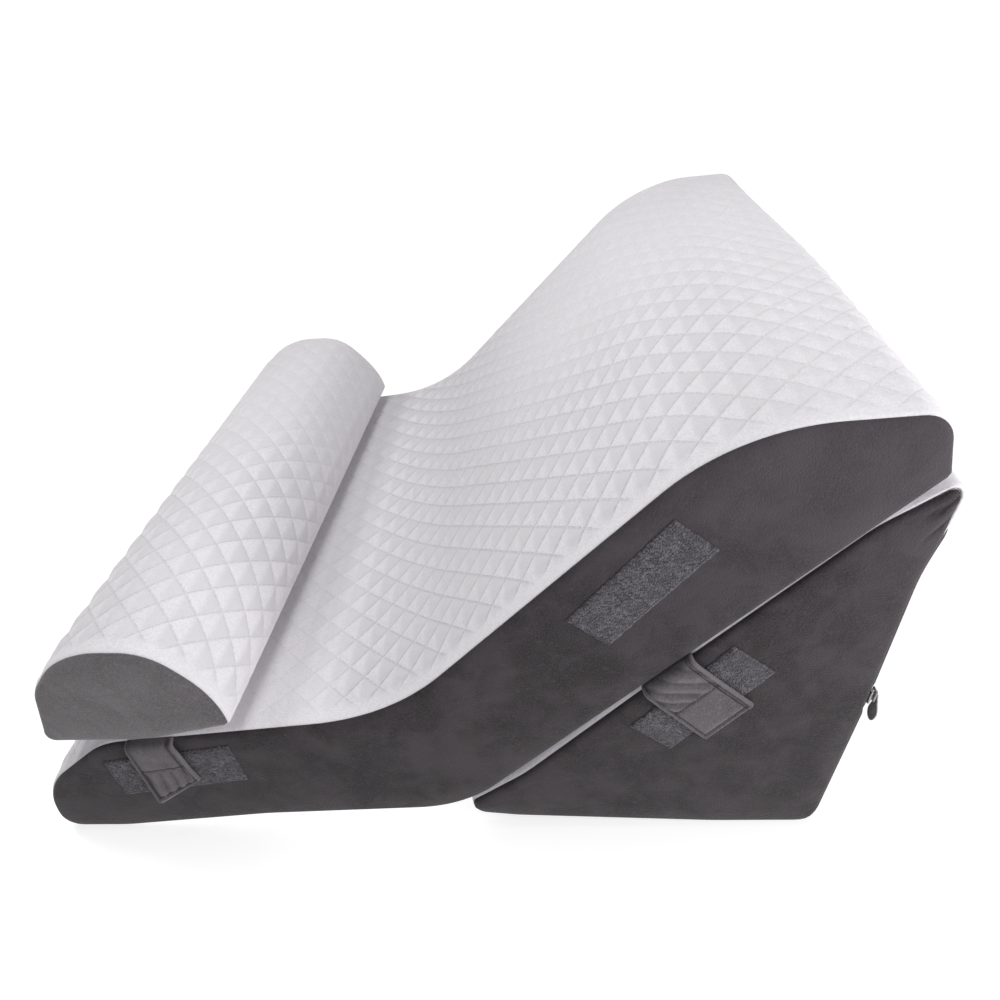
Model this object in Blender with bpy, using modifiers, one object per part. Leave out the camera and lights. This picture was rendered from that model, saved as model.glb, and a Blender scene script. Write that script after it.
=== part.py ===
"""Wedge pillow: a contoured pad leaning on a triangular wedge, with a D-section neck roll on the pad's foot.

The pattern tables are in millimetres, with x counted from the tip of the toe and z from the surface. Finished
objects are in metres, +Z up, centred in X and Y. X runs from the toe to the wedge's back, and -Y is the near side.
"""

import math

import bmesh
import bpy
import numpy as np
from mathutils import Matrix, Vector
from mathutils.bvhtree import BVHTree

MM = 0.001

# Overall sizes, mm
MIDDLE = 375.5
SIDE = 297.5
ROLL_SIDE = 295.0

# Cloth and seams, mm
GAP = 0.3
VELOUR = 2.2
CORNER_WRAP = ((0.0, 6.0), (1.5, 2.0))  # how far inside the side face, and how far in from the seam's outline
CORNER_DEPTH = 6.0
PANEL_INSET = 1.0
SIDE_BULGE = 3.0
BULGE_FULL_AT = 60.0

# Quilting, mm
HALF_DIAMOND = 17.3
SEAM_FADE = 26.0
END_FADE = 28.0
SHARP_TURN = math.radians(16)
ARC_STEP = math.radians(9)
KEPT_CORNER = 6.0  # a base run's corners up to this radius keep a station of their own

# Outlines of the sewn edge: x, z, corner radius
PAD_TOP = (
    (1, 22, 0),
    (1, 60, 70),
    (74, 122, 65),
    (333, 152.5, 185),
    (592.5, 428, 172),
    (734, 440, 38),
    (733, 397, 0),
)
PAD_BASE = (
    (1, 22, 0),
    (1, 0, 21),
    (66, 0, 150),
    (205, 17, 200),
    (392, 27, 110),
    (732, 387, 6),
    (733, 397, 0),
)
WEDGE_TOP = (
    (398, 25, 0),
    (397, 35.5, 6),
    (446, 75, 150),
    (560, 201.5, 300),
    (698, 348.5, 150),
    (750, 388, 12),
    (750, 364, 0),
)
WEDGE_BASE = (
    (398, 25, 0),
    (405, 17.5, 5),
    (440, 12.5, 100),
    (620, GAP + VELOUR, 400),
    (713.5, GAP + VELOUR, 17),
    (724, 150, 300),
    (733, 292, 300),
    (740.5, 342.5, 2),
    (744.5, 346, 2),
    (750, 364, 0),
)
ROLL_TOP = (
    (20, 132, 0),
    (30, 178.5, 40),
    (68.5, 228, 88),
    (149, 233.5, 55),
    (196, 189.5, 85),
    (200, 153.5, 4),
    (193, 151, 0),
)
ROLL_BASE = (
    (20, 132, 0),
    (16, 113.5, 11),
    (122, 126.5, 150),
    (193, 151, 0),
)

# Crown over each cushion's seams, then height of its diamonds: distance along the top run, height.
# Both are pressed flat where the roll lies on the pad and the pad on the wedge.
PAD_CROWN = ((0, 0.3), (290, 0.3), (420, 5.0))
PAD_PUFF = ((0, 0.4), (250, 0.4), (300, 1.8))
WEDGE_CROWN = ((0, 0.0),)
WEDGE_PUFF = ((0, 0.8),)
ROLL_CROWN = ((0, 2.5),)
ROLL_PUFF = ((0, 2.0),)

# Where the side faces' bulge begins and ends, as shares of the way from the top run to the base run
PAD_LEVELS = (0.13, 0.87)
WEDGE_LEVELS = (0.09, 0.9)
ROLL_LEVELS = (0.2, 0.8)

# Neck roll's place on the pad
ROLL_CENTRE = (115.0, 26.8)  # its middle in x at the near end, and how far the middle of its length lies past that
ROLL_SKEW = math.radians(5.1)
ROLL_TILT = math.radians(0.55)
ROLL_CLEARANCE = 0.5
ROLL_LIFT = 40.0  # where it starts, before it is lowered

# Zip across the wedge's back, mm
ZIP_HEIGHT = 166.0
ZIP_TAPE_HALF = 11.0
ZIP_TAPE_THICK = 1.2
BACK_PANEL_TOP = 341.0
BACK_HALF_WIDTH = 296.5
BASE_PANEL_FRONT = 414.0
SLIDER_SIZE = (8.0, 9.0, 14.0)
SLIDER_END = 6.5
SLIDER_BEVEL = 1.4
SLIDER_REACH = 10.0  # how far above and below the slider the back's lean is read
PULLER_THICK = 1.2
PULLER_SIZE = (9.0, 27.0)
PULLER_TOP = 1.8  # half its width at the top
PULLER_EYE = 4.0  # how far its top stands over the point that it hangs from
PULLER_DROP = (0.6, -4.0)

# Loop tape patches on the side panels, mm and degrees
TAPE_SIZE = (119.0, 1.4, 46.0)
TAPES = (
    ("loop_tape_pad", 536.0, 299.5, 51.4),
    ("loop_tape_wedge", 592.0, 176.0, 50.8),
    ("loop_tape_foot", 136.0, 89.5, 10.0),
)

# Strap tabs: how far the far one is moved in x and z, then a row for each fold of the near one, with x, z and
# distance out from the side face for the left and the right edge. The far foot tab follows the roll's skew.
TAB_THICK = 2.0
TAB_SMOOTHING = 4
STRAP_TABS = (
    (
        "strap_tab_wedge",
        (0.0, 0.0),
        (
            (544.5, 185.5, -2.0, 581.0, 225.0, -2.0),
            (545.0, 185.1, 3.0, 581.5, 224.6, 3.0),
            (547.0, 183.0, 7.3, 583.5, 222.5, 7.3),
            (552.0, 178.0, 8.8, 588.5, 217.8, 8.8),
            (574.0, 156.0, 8.8, 610.5, 197.0, 8.8),
            (600.0, 130.5, 8.8, 635.5, 174.0, 8.8),
        ),
    ),
    (
        "strap_tab_foot",
        (51.0, 5.9),
        (
            (98.0, 126.0, -1.5, 142.5, 131.2, -1.5),
            (98.2, 125.9, 2.5, 142.7, 131.1, 2.5),
            (99.3, 123.5, 7.2, 144.0, 128.5, 7.2),
            (101.8, 111.0, 8.9, 148.0, 116.5, 8.8),
            (105.8, 85.0, 9.4, 153.0, 97.5, 8.8),
            (113.0, 49.5, 12.5, 158.5, 81.5, 8.8),
        ),
    ),
)

# Colour, roughness and metallic value of each cloth and metal
FINISHES = {
    "quilted_knit": ((0.78, 0.76, 0.79), 0.85, 0.0),
    "charcoal_velour": ((0.072, 0.064, 0.070), 0.9, 0.0),
    "grey_velour": ((0.135, 0.125, 0.135), 0.9, 0.0),
    "loop_tape": ((0.115, 0.12, 0.128), 0.95, 0.0),
    "tab_velour": ((0.15, 0.14, 0.147), 0.9, 0.0),
    "zip_cloth": ((0.03, 0.03, 0.03), 0.8, 0.0),
    "zip_metal": ((0.25, 0.24, 0.24), 0.4, 0.9),
}


def clear_scene():
    for obj in list(bpy.data.objects):
        bpy.data.objects.remove(obj, do_unlink=True)


def finish(name):
    """The material of this name, made on its first use."""
    made = bpy.data.materials.get(name)
    if made:
        return made
    colour, roughness, metallic = FINISHES[name]
    made = bpy.data.materials.new(name)
    made.use_nodes = True
    shader = made.node_tree.nodes["Principled BSDF"]
    shader.inputs["Base Color"].default_value = (*colour, 1.0)
    shader.inputs["Roughness"].default_value = roughness
    shader.inputs["Metallic"].default_value = metallic
    return made


def smooth_step(value):
    value = np.clip(value, 0.0, 1.0)
    return value * value * (3.0 - 2.0 * value)


def unit(vector):
    return vector / np.linalg.norm(vector)


def rounded(rows):
    """The outline through the rows as points, with an arc of its own radius at each corner."""
    corners = [np.array(row[:2], float) for row in rows]
    points = [corners[0]]
    for before, corner, after, row in zip(corners, corners[1:], corners[2:], rows[1:]):
        back = unit(before - corner)
        ahead = unit(after - corner)
        half = math.acos(float(np.clip(back @ ahead, -1.0, 1.0))) / 2
        centre = corner + unit(back + ahead) * row[2] / math.sin(half)
        arm = corner + back * row[2] / math.tan(half) - centre
        turn = math.pi - 2 * half
        sign = math.copysign(1.0, back[0] * ahead[1] - back[1] * ahead[0])
        steps = max(2, math.ceil(turn / ARC_STEP))
        for step in range(steps + 1):
            angle = -sign * turn * step / steps
            cosine, sine = math.cos(angle), math.sin(angle)
            points.append(centre + np.array((arm[0] * cosine - arm[1] * sine, arm[0] * sine + arm[1] * cosine)))
    points.append(corners[-1])
    return np.array(points)


def distances(path):
    """How far along the path each of its points lies."""
    return np.concatenate(([0.0], np.cumsum(np.linalg.norm(np.diff(path, axis=0), axis=1))))


def points_at(path, where):
    along = distances(path)
    return np.stack([np.interp(where, along, path[:, k]) for k in (0, 1)], axis=-1)


def outward(path, closed=False):
    """Unit normals to the left of the path's direction, which is outward on a top run."""
    if closed:
        ahead = np.roll(path, -1, axis=0) - np.roll(path, 1, axis=0)
    else:
        ahead = np.gradient(path, axis=0)
    normals = np.stack((-ahead[:, 1], ahead[:, 0]), axis=-1)
    return normals / np.linalg.norm(normals, axis=1, keepdims=True)


def quilt_rows(path):
    """Where the quilt's rows cross the top run, in half diamonds, with one more in each sharp bend."""
    total = distances(path)[-1]
    count = round(total / HALF_DIAMOND)
    probe = 0.02 * HALF_DIAMOND
    rows = [0.0]
    for k in range(count):
        ends = [points_at(path, total * k / count + d) for d in (0.0, probe)]
        later = [points_at(path, total * (k + 1) / count + d) for d in (-probe, 0.0)]
        turn = math.acos(float(np.clip(unit(ends[1] - ends[0]) @ unit(later[1] - later[0]), -1.0, 1.0)))
        if turn > SHARP_TURN:
            rows.append(k + 0.5)
        rows.append(k + 1.0)
    return np.array(rows), total / count


def base_stations(base, path, share):
    """Distances along the base run that match the top run's shares, moved onto its tight corners."""
    along = distances(path)
    stations = share * along[-1]
    last = 0
    for x, z, radius in base[1:-1]:
        if radius > KEPT_CORNER:
            continue
        mark = along[np.argmin(np.linalg.norm(path - (x, z), axis=1))]
        last = min(range(last + 1, len(stations) - 1), key=lambda k: abs(stations[k] - mark))
        stations[last] = mark
    return stations


def diamond(u, v):
    """Height of a quilted diamond, 0 on its stitched edges and 1 at its middle, with u and v in half diamonds."""
    first = (u + v) / 2
    second = (u - v) / 2
    return 2 * np.minimum(abs(first - np.round(first)), abs(second - np.round(second)))


class Shape:
    """A cushion's sewn outline: a top run and a base run with matching stations, and the ring they make."""

    def __init__(self, top, base, side):
        path = rounded(top)
        self.rows, self.step = quilt_rows(path)
        self.run = self.rows * self.step
        base_path = rounded(base)
        upper = points_at(path, self.run)
        lower = points_at(base_path, base_stations(base, base_path, self.run / self.run[-1]))
        self.count = len(upper)
        self.ring = np.concatenate((upper, lower[-2:0:-1]))
        self.normals = outward(self.ring, closed=True)
        self.side = side

    def inset(self, distance):
        return self.ring - self.normals * distance

    def side_grid(self, inset, out, sign, levels):
        """Rungs between the two runs on one side: points at the given levels, bulging away from the middle."""
        ring = self.inset(inset)
        grid = []
        for k in range(self.count):
            upper = ring[k]
            lower = ring[-k % len(ring)]
            swell = SIDE_BULGE * float(smooth_step(np.linalg.norm(lower - upper) / BULGE_FULL_AT))
            row = []
            for level in (0.0, levels[0], levels[1], 1.0):
                x, z = upper + (lower - upper) * level
                y = self.side + out + (swell if 0.0 < level < 1.0 else 0.0)
                row.append((x, sign * y, z))
            grid.append(row)
        return np.array(grid)


def grid_faces(rows, columns, first, flip=None):
    """Quads of a grid of vertices, as two triangles each where flip gives the diagonal."""
    faces = []
    for i in range(rows - 1):
        for j in range(columns - 1):
            a = first + i * columns + j
            b, c, d = a + 1, a + columns + 1, a + columns
            if flip is None:
                faces.append((a, b, c, d))
            elif flip(i, j):
                faces += [(a, b, d), (b, c, d)]
            else:
                faces += [(a, b, c), (a, c, d)]
    return faces


def mesh_object(name, points, faces, material, collection):
    """A closed mesh from points in mm of the pattern, moved to the part's own frame."""
    points = np.array(points, float)
    points[:, 0] -= MIDDLE
    mesh = bpy.data.meshes.new(name)
    mesh.from_pydata((points * MM).tolist(), [], faces)
    work = bmesh.new()
    work.from_mesh(mesh)
    bmesh.ops.remove_doubles(work, verts=work.verts, dist=1e-6)
    bmesh.ops.recalc_face_normals(work, faces=work.faces)
    work.to_mesh(mesh)
    work.free()
    mesh.shade_smooth()
    mesh.set_sharp_from_angle(angle=math.radians(50))
    mesh.materials.append(finish(material))
    obj = bpy.data.objects.new(name, mesh)
    collection.objects.link(obj)
    return obj


def cushion(name, shape, crowns, puffs, levels, collection):
    """One filled cushion: quilted over its top run, plain below, with softly bulging sides."""
    crown = np.interp(shape.run, *zip(*crowns))
    puff = np.interp(shape.run, *zip(*puffs))
    flat_half = shape.side - CORNER_DEPTH
    count = 2 * round(flat_half / shape.step)
    lattice = np.arange(count + 1) - count // 2
    inner = lattice * flat_half / (count // 2)
    edge = [(shape.side - depth, inset) for depth, inset in CORNER_WRAP]
    columns = [(-y, inset, None) for y, inset in edge]
    columns += [(y, 0.0, int(v)) for y, v in zip(inner, lattice)]
    columns += [(y, inset, None) for y, inset in reversed(edge)]
    end_rows = smooth_step(shape.run / END_FADE) * smooth_step((shape.run[-1] - shape.run) / END_FADE)
    height = np.zeros((len(shape.ring), len(columns)))
    for j, (y, inset, v) in enumerate(columns):
        if v is None:
            continue
        dome = 1.0 - (abs(y) / flat_half) ** 4
        seam = smooth_step((flat_half - abs(y)) / SEAM_FADE)
        height[: shape.count, j] = end_rows * (crown * dome + puff * seam * diamond(shape.rows, v))
    points = []
    for i in range(len(shape.ring) + 1):
        k = i % len(shape.ring)
        for j, (y, inset, v) in enumerate(columns):
            x, z = shape.ring[k] + shape.normals[k] * (height[k, j] - inset)
            points.append((x, y, z))

    def flip(i, j):
        v = columns[j][2]
        if v is None or i >= shape.count - 1:
            return False
        return (int(shape.rows[i]) + v) % 2 != 0

    faces = grid_faces(len(shape.ring) + 1, len(columns), 0, flip)
    for sign in (-1, 1):
        side = shape.side_grid(edge[0][1], 0.0, sign, levels).reshape(-1, 3)
        faces += grid_faces(shape.count, 4, len(points))
        points += side.tolist()
    return mesh_object(name, points, faces, "quilted_knit", collection)


def sheet(name, inner, outer, material, collection):
    """A sheet of cloth between two grids of points of the same size."""
    rows, columns = inner.shape[:2]
    points = np.concatenate((inner.reshape(-1, 3), outer.reshape(-1, 3)))
    half = rows * columns
    faces = grid_faces(rows, columns, 0) + grid_faces(rows, columns, half)
    border = [(i, 0) for i in range(rows)] + [(rows - 1, j) for j in range(1, columns)]
    border += [(i, columns - 1) for i in range(rows - 2, -1, -1)] + [(0, j) for j in range(columns - 2, 0, -1)]
    for here, there in zip(border, border[1:] + border[:1]):
        a = here[0] * columns + here[1]
        b = there[0] * columns + there[1]
        faces.append((a, b, b + half, a + half))
    return mesh_object(name, points, faces, material, collection)


def side_panels(name, shape, levels, material, collection):
    panels = []
    for suffix, sign in (("near", -1), ("far", 1)):
        inner = shape.side_grid(PANEL_INSET, GAP, sign, levels)
        outer = shape.side_grid(PANEL_INSET, GAP + VELOUR, sign, levels)
        panels.append(sheet(f"{name}_panel_{suffix}", inner, outer, material, collection))
    return panels


def back_distance(path, height):
    """How far along the wedge's base run its back reaches a height."""
    along = distances(path)
    back = path[:, 0] > 0.5 * (path[0, 0] + path[-1, 0])
    back &= np.concatenate(([False], np.diff(path[:, 1]) > 0))
    return float(np.interp(height, path[back, 1], along[back]))


def back_strip(name, path, start, end, thick, material, collection):
    """A strip of cloth laid on the wedge's base run between two distances, across its width."""
    along = distances(path)
    where = np.concatenate(([start], along[(along > start + 0.5) & (along < end - 0.5)], [end]))
    line = points_at(path, where)
    normals = -outward(line)
    layers = []
    for offset in (GAP, GAP + thick):
        edge = line + normals * offset
        layers.append(np.array([[(x, y, z) for y in (-BACK_HALF_WIDTH, BACK_HALF_WIDTH)] for x, z in edge]))
    return sheet(name, layers[0], layers[1], material, collection)


def wedge_back(collection):
    """The velour on the wedge's base and back, with the zip between its two pieces."""
    path = rounded(WEDGE_BASE)
    front = float(np.interp(BASE_PANEL_FRONT, path[:, 0], distances(path)))
    zip_low = back_distance(path, ZIP_HEIGHT - ZIP_TAPE_HALF)
    zip_high = back_distance(path, ZIP_HEIGHT + ZIP_TAPE_HALF)
    top = back_distance(path, BACK_PANEL_TOP)
    back_strip("base_wedge_base_panel", path, front, zip_low - GAP, VELOUR, "charcoal_velour", collection)
    back_strip("zip_tape", path, zip_low, zip_high, ZIP_TAPE_THICK, "zip_cloth", collection)
    back_strip("base_wedge_back_panel", path, zip_high + GAP, top, VELOUR, "charcoal_velour", collection)
    zip_fittings(path, collection)


def zip_fittings(path, collection):
    """The slider, parked at the near end of the zip, and its hanging puller."""
    middle = back_distance(path, ZIP_HEIGHT)
    low, high = points_at(path, np.array((middle - SLIDER_REACH, middle + SLIDER_REACH)))
    lean = math.atan2(high[0] - low[0], high[1] - low[1])
    face = (low + high) / 2
    ahead = np.array((math.cos(lean), -math.sin(lean)))
    y = -BACK_HALF_WIDTH + SLIDER_END
    slider_out = 2 * GAP + ZIP_TAPE_THICK + SLIDER_SIZE[0] / 2
    bpy.ops.mesh.primitive_cube_add(size=1.0)
    slider = bpy.context.object
    slider.name = "zip_slider"
    slider.data.transform(Matrix.Diagonal((*(size * MM for size in SLIDER_SIZE), 1.0)))
    bevel = slider.modifiers.new("rounding", "BEVEL")
    bevel.width = SLIDER_BEVEL * MM
    bevel.segments = 2
    place_on_back(slider, face + ahead * slider_out, y, lean, collection)
    width, length = PULLER_SIZE
    tip = width / 2
    outline = [(-PULLER_TOP, PULLER_EYE), (PULLER_TOP, PULLER_EYE)]
    outline += [(tip * math.cos(a), tip - length - tip * math.sin(a)) for a in np.linspace(0.0, math.pi, 9)]
    curve = bpy.data.curves.new("zip_puller", "CURVE")
    curve.dimensions = "2D"
    curve.fill_mode = "BOTH"
    curve.extrude = PULLER_THICK / 2 * MM
    spline = curve.splines.new("POLY")
    spline.points.add(len(outline) - 1)
    for point, (across, up) in zip(spline.points, outline):
        point.co = (across * MM, up * MM, 0.0, 1.0)
    spline.use_cyclic_u = True
    puller = bpy.data.objects.new("zip_puller", curve)
    puller_out = slider_out + SLIDER_SIZE[0] / 2 + GAP + PULLER_THICK / 2
    place_on_back(puller, face + ahead * puller_out + PULLER_DROP, y, 0.0, collection)
    puller.matrix_world = puller.matrix_world @ Matrix(((0, 0, 1, 0), (1, 0, 0, 0), (0, 1, 0, 0), (0, 0, 0, 1)))
    slider.data.materials.append(finish("zip_metal"))
    curve.materials.append(finish("zip_metal"))


def place_on_back(obj, point, y, lean, collection):
    for owner in list(obj.users_collection):
        owner.objects.unlink(obj)
    collection.objects.link(obj)
    place = Matrix.Translation(((point[0] - MIDDLE) * MM, y * MM, point[1] * MM))
    obj.matrix_world = place @ Matrix.Rotation(lean, 4, "Y")


def loop_tapes(collection):
    """Patches of loop tape on the flat middle of the side panels."""
    out = SIDE + GAP + VELOUR + SIDE_BULGE + GAP + TAPE_SIZE[1] / 2
    for name, x, z, angle in TAPES:
        for suffix, sign in (("near", -1), ("far", 1)):
            bpy.ops.mesh.primitive_cube_add(size=1.0)
            patch = bpy.context.object
            patch.name = f"{name}_{suffix}"
            patch.data.transform(Matrix.Diagonal((*(size * MM for size in TAPE_SIZE), 1.0)))
            patch.location = ((x - MIDDLE) * MM, sign * out * MM, z * MM)
            patch.rotation_euler = (0.0, -math.radians(angle), 0.0)
            patch.data.materials.append(finish("loop_tape"))
            for owner in list(patch.users_collection):
                owner.objects.unlink(patch)
            collection.objects.link(patch)


def flowing(rows, steps):
    """A smooth run of rows through the given ones, by Catmull-Rom."""
    rows = np.array(rows, float)
    padded = np.concatenate(([2 * rows[0] - rows[1]], rows, [2 * rows[-1] - rows[-2]]))
    out = []
    for k in range(1, len(rows)):
        a, b, c, d = padded[k - 1 : k + 3]
        for step in range(steps):
            t = step / steps
            out.append(
                0.5 * (2 * b + (c - a) * t + (2 * a - 5 * b + 4 * c - d) * t * t + (3 * b - a - 3 * c + d) * t**3)
            )
    out.append(rows[-1])
    return np.array(out)


def strap_tabs(collection):
    """Tabs sewn in between the cushions that fold down over the loop tape."""
    for name, far_shift, rows in STRAP_TABS:
        smooth = flowing(rows, TAB_SMOOTHING)
        for suffix, sign, (dx, dz) in (("near", -1, (0.0, 0.0)), ("far", 1, far_shift)):
            grid = np.array(
                [[(r[k] + dx, sign * (SIDE + r[k + 2]), r[k + 1] + dz) for k in (0, 3)] for r in smooth]
            )
            grid = np.stack((grid[:, 0], (grid[:, 0] + grid[:, 1]) / 2, grid[:, 1]), axis=1)
            down = np.gradient(grid, axis=0)
            across = np.gradient(grid, axis=1)
            normals = np.cross(down, across)
            normals /= np.linalg.norm(normals, axis=2, keepdims=True)
            shift = normals * TAB_THICK / 2
            sheet(f"{name}_{suffix}", grid - shift, grid + shift, "tab_velour", collection)


def tree_of(obj):
    """A search tree of the object's faces where they stand."""
    corners = [obj.matrix_world @ vertex.co for vertex in obj.data.vertices]
    return BVHTree.FromPolygons(corners, [tuple(face.vertices) for face in obj.data.polygons]), corners


def drop_room(upper, lower):
    """The least upright distance between two objects, one above the other."""
    upper_tree, upper_points = tree_of(upper)
    lower_tree, lower_points = tree_of(lower)
    room = []
    for tree, points, way in ((lower_tree, upper_points, -1.0), (upper_tree, lower_points, 1.0)):
        for point in points:
            hit = tree.ray_cast(point, Vector((0.0, 0.0, way)))
            if hit[0] is not None:
                room.append(hit[3])
    return min(room)


def neck_roll(pad, collection):
    """The roll, skewed a little in plan as it was laid down, and lowered until it rests on the pad."""
    shape = Shape(ROLL_TOP, ROLL_BASE, ROLL_SIDE)
    pieces = [cushion("neck_roll", shape, ROLL_CROWN, ROLL_PUFF, ROLL_LEVELS, collection)]
    pieces += side_panels("neck_roll", shape, ROLL_LEVELS, "grey_velour", collection)
    middle = Vector(((ROLL_CENTRE[0] - MIDDLE) * MM, 0.0, shape.ring[:, 1].min() * MM))
    place = bpy.data.objects.new("neck_roll_place", None)
    collection.objects.link(place)
    place.rotation_euler = (ROLL_TILT, 0.0, -ROLL_SKEW)
    place.location = middle + Vector((ROLL_CENTRE[1] * MM, 0.0, ROLL_LIFT * MM))
    for piece in pieces:
        piece.data.transform(Matrix.Translation(-middle))
        piece.parent = place
    bpy.context.view_layer.update()
    place.location.z -= drop_room(pieces[0], pad) - ROLL_CLEARANCE * MM


def main():
    clear_scene()
    collection = bpy.data.collections.new("wedge_pillow")
    bpy.context.scene.collection.children.link(collection)
    pad_shape = Shape(PAD_TOP, PAD_BASE, SIDE)
    pad = cushion("contour_pad", pad_shape, PAD_CROWN, PAD_PUFF, PAD_LEVELS, collection)
    side_panels("contour_pad", pad_shape, PAD_LEVELS, "charcoal_velour", collection)
    wedge_shape = Shape(WEDGE_TOP, WEDGE_BASE, SIDE)
    cushion("base_wedge", wedge_shape, WEDGE_CROWN, WEDGE_PUFF, WEDGE_LEVELS, collection)
    side_panels("base_wedge", wedge_shape, WEDGE_LEVELS, "charcoal_velour", collection)
    wedge_back(collection)
    loop_tapes(collection)
    strap_tabs(collection)
    neck_roll(pad, collection)


main()
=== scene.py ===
"""Looks of the wedge pillow: a quilted pad on a triangular wedge, with a neck roll on its foot.

The pattern tables are in millimetres, as in the part's own source: x is counted from the tip of the toe
and z from the surface. Finished pieces are in metres in the part's frame, with the near side at -Y.
"""

import logging
import math
from dataclasses import dataclass
from enum import Enum

import bmesh
import bpy
import numpy as np
from mathutils import Matrix, Vector
from mathutils.kdtree import KDTree


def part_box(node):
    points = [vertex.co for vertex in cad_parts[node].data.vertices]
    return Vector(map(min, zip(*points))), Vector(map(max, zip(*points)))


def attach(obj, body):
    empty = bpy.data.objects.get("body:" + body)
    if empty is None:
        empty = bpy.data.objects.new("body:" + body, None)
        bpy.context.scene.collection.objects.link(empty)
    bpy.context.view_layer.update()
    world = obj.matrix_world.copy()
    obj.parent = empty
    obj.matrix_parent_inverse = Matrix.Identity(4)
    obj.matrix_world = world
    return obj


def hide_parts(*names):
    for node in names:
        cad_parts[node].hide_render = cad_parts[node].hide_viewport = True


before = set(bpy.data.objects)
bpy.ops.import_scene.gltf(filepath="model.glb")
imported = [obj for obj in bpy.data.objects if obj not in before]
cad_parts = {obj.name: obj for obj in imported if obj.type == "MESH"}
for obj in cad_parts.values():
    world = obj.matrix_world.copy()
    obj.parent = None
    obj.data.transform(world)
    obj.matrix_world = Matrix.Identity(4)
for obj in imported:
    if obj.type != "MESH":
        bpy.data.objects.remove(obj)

LOG = logging.getLogger("wedge_pillow")
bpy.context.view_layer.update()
BODY = "root"
MM = 0.001

Rows = tuple[tuple[float, float, float], ...]
Table = tuple[tuple[float, float], ...]
Colour = tuple[float, float, float]

# Sizes shared by the cushions, mm
MIDDLE = 375.5
SIDE = 297.5
ROLL_SIDE = 298.0
GAP = 0.3
VELOUR = 2.2
SIDE_BULGE = 3.0
HALF_DIAMOND = 17.3
ARC_STEP = math.radians(3)
KEPT_CORNER = 6.0

# Rounding of a cushion's cover into its side seam: how far inside the side face, and how far in from
# the outline
SEAM_WRAP = ((6.0, 0.0), (4.4, 0.15), (2.9, 0.55), (1.6, 1.15), (0.9, 1.9), (1.3, 3.0), (2.5, 4.2))
SEAM_INSET = 1.8
FINE_STEPS = 6  # grid steps in half a diamond
BASE_STEP = 8.0
PANEL_STEP = 4.0
PANEL_INSETS = (0.0, 0.6, 1.4, 2.4, 3.6, 5.0, 8.0, 13.0, 20.0, 30.0)  # its rows of points, from the seam in

# Outlines of the sewn edge: x, z, corner radius
PAD_TOP: Rows = (
    (1, 22, 0),
    (1, 60, 70),
    (74, 122, 65),
    (333, 152.5, 185),
    (592.5, 428, 172),
    (728, 436.5, 23),
    (736, 399, 0),
)
PAD_BASE: Rows = (
    (1, 22, 0),
    (1, 0, 21),
    (66, 0, 150),
    (205, 17, 200),
    (392, 27, 110),
    (738.5, 388, 5),
    (736, 399, 0),
)
WEDGE_TOP: Rows = (
    (398, 25, 0),
    (397, 35.5, 6),
    (446, 75, 150),
    (560, 201.5, 300),
    (698, 348.5, 150),
    (748.5, 386.5, 9),
    (752.5, 368, 0),
)
WEDGE_BASE: Rows = (
    (398, 25, 0),
    (405, 17.5, 5),
    (440, 12.5, 100),
    (620, GAP + VELOUR, 400),
    (713.5, GAP + VELOUR, 17),
    (728.5, 150, 300),
    (738.5, 300, 200),
    (749.5, 347, 40),
    (752.5, 368, 0),
)
ROLL_TOP: Rows = (
    (21.5, 132, 0),
    (31, 180.5, 40),
    (68.5, 230.5, 88),
    (149, 236, 55),
    (196, 189.5, 85),
    (200, 153.5, 4),
    (193, 151, 0),
)
ROLL_BASE: Rows = (
    (21.5, 132, 0),
    (16, 113.5, 11),
    (122, 126.5, 150),
    (193, 151, 0),
)

# Neck roll's place on the pad
ROLL_CENTRE = (115.0, 26.8)
ROLL_SKEW = math.radians(5.1)
ROLL_TILT = math.radians(0.55)
ROLL_SHIFT = (2.2, -3.0)  # x and y, from the solid's place to the photograph's

# Zip across the wedge's back, mm
ZIP_HEIGHT = 166.0
ZIP_TAPE_HALF = 11.0
ZIP_TAPE_THICK = 1.2
BACK_PANEL_TOP = 341.0
BASE_PANEL_FRONT = 414.0
SLIDER_Y = -290.0
PULLER_NECK = 1.7  # half widths of the puller's plate at its eye and at its tip
PULLER_TIP = 5.4
PULLER_TURN = 0.42  # radians, about the upright
PULLER_OUT = 4.0

# Camera, metres and degrees
CAMERA_PLACE = (0.0845, -0.760, 0.7032)
CAMERA_YAW = 2.84
CAMERA_PITCH = 35.33
CAMERA_ROLL = -2.79
CAMERA_LENS = 29.826
CAMERA_SENSOR = 36.0


def smooth_step(value: np.ndarray) -> np.ndarray:
    """A soft ramp from 0 to 1."""
    value = np.clip(value, 0.0, 1.0)
    return value * value * (3.0 - 2.0 * value)


def hump(value: np.ndarray, width: float) -> np.ndarray:
    """A soft ridge of height 1 about zero."""
    return np.exp(-((value / width) ** 2))


def quarter_round(distance: np.ndarray, radius: float) -> np.ndarray:
    """A rise from 0 at an edge to 1 at the radius, along a quarter of a circle."""
    return np.sqrt(1.0 - (1.0 - np.clip(distance / radius, 0.0, 1.0)) ** 2)


def unit(vector: np.ndarray) -> np.ndarray:
    """The vector at length 1."""
    return vector / np.linalg.norm(vector)


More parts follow.
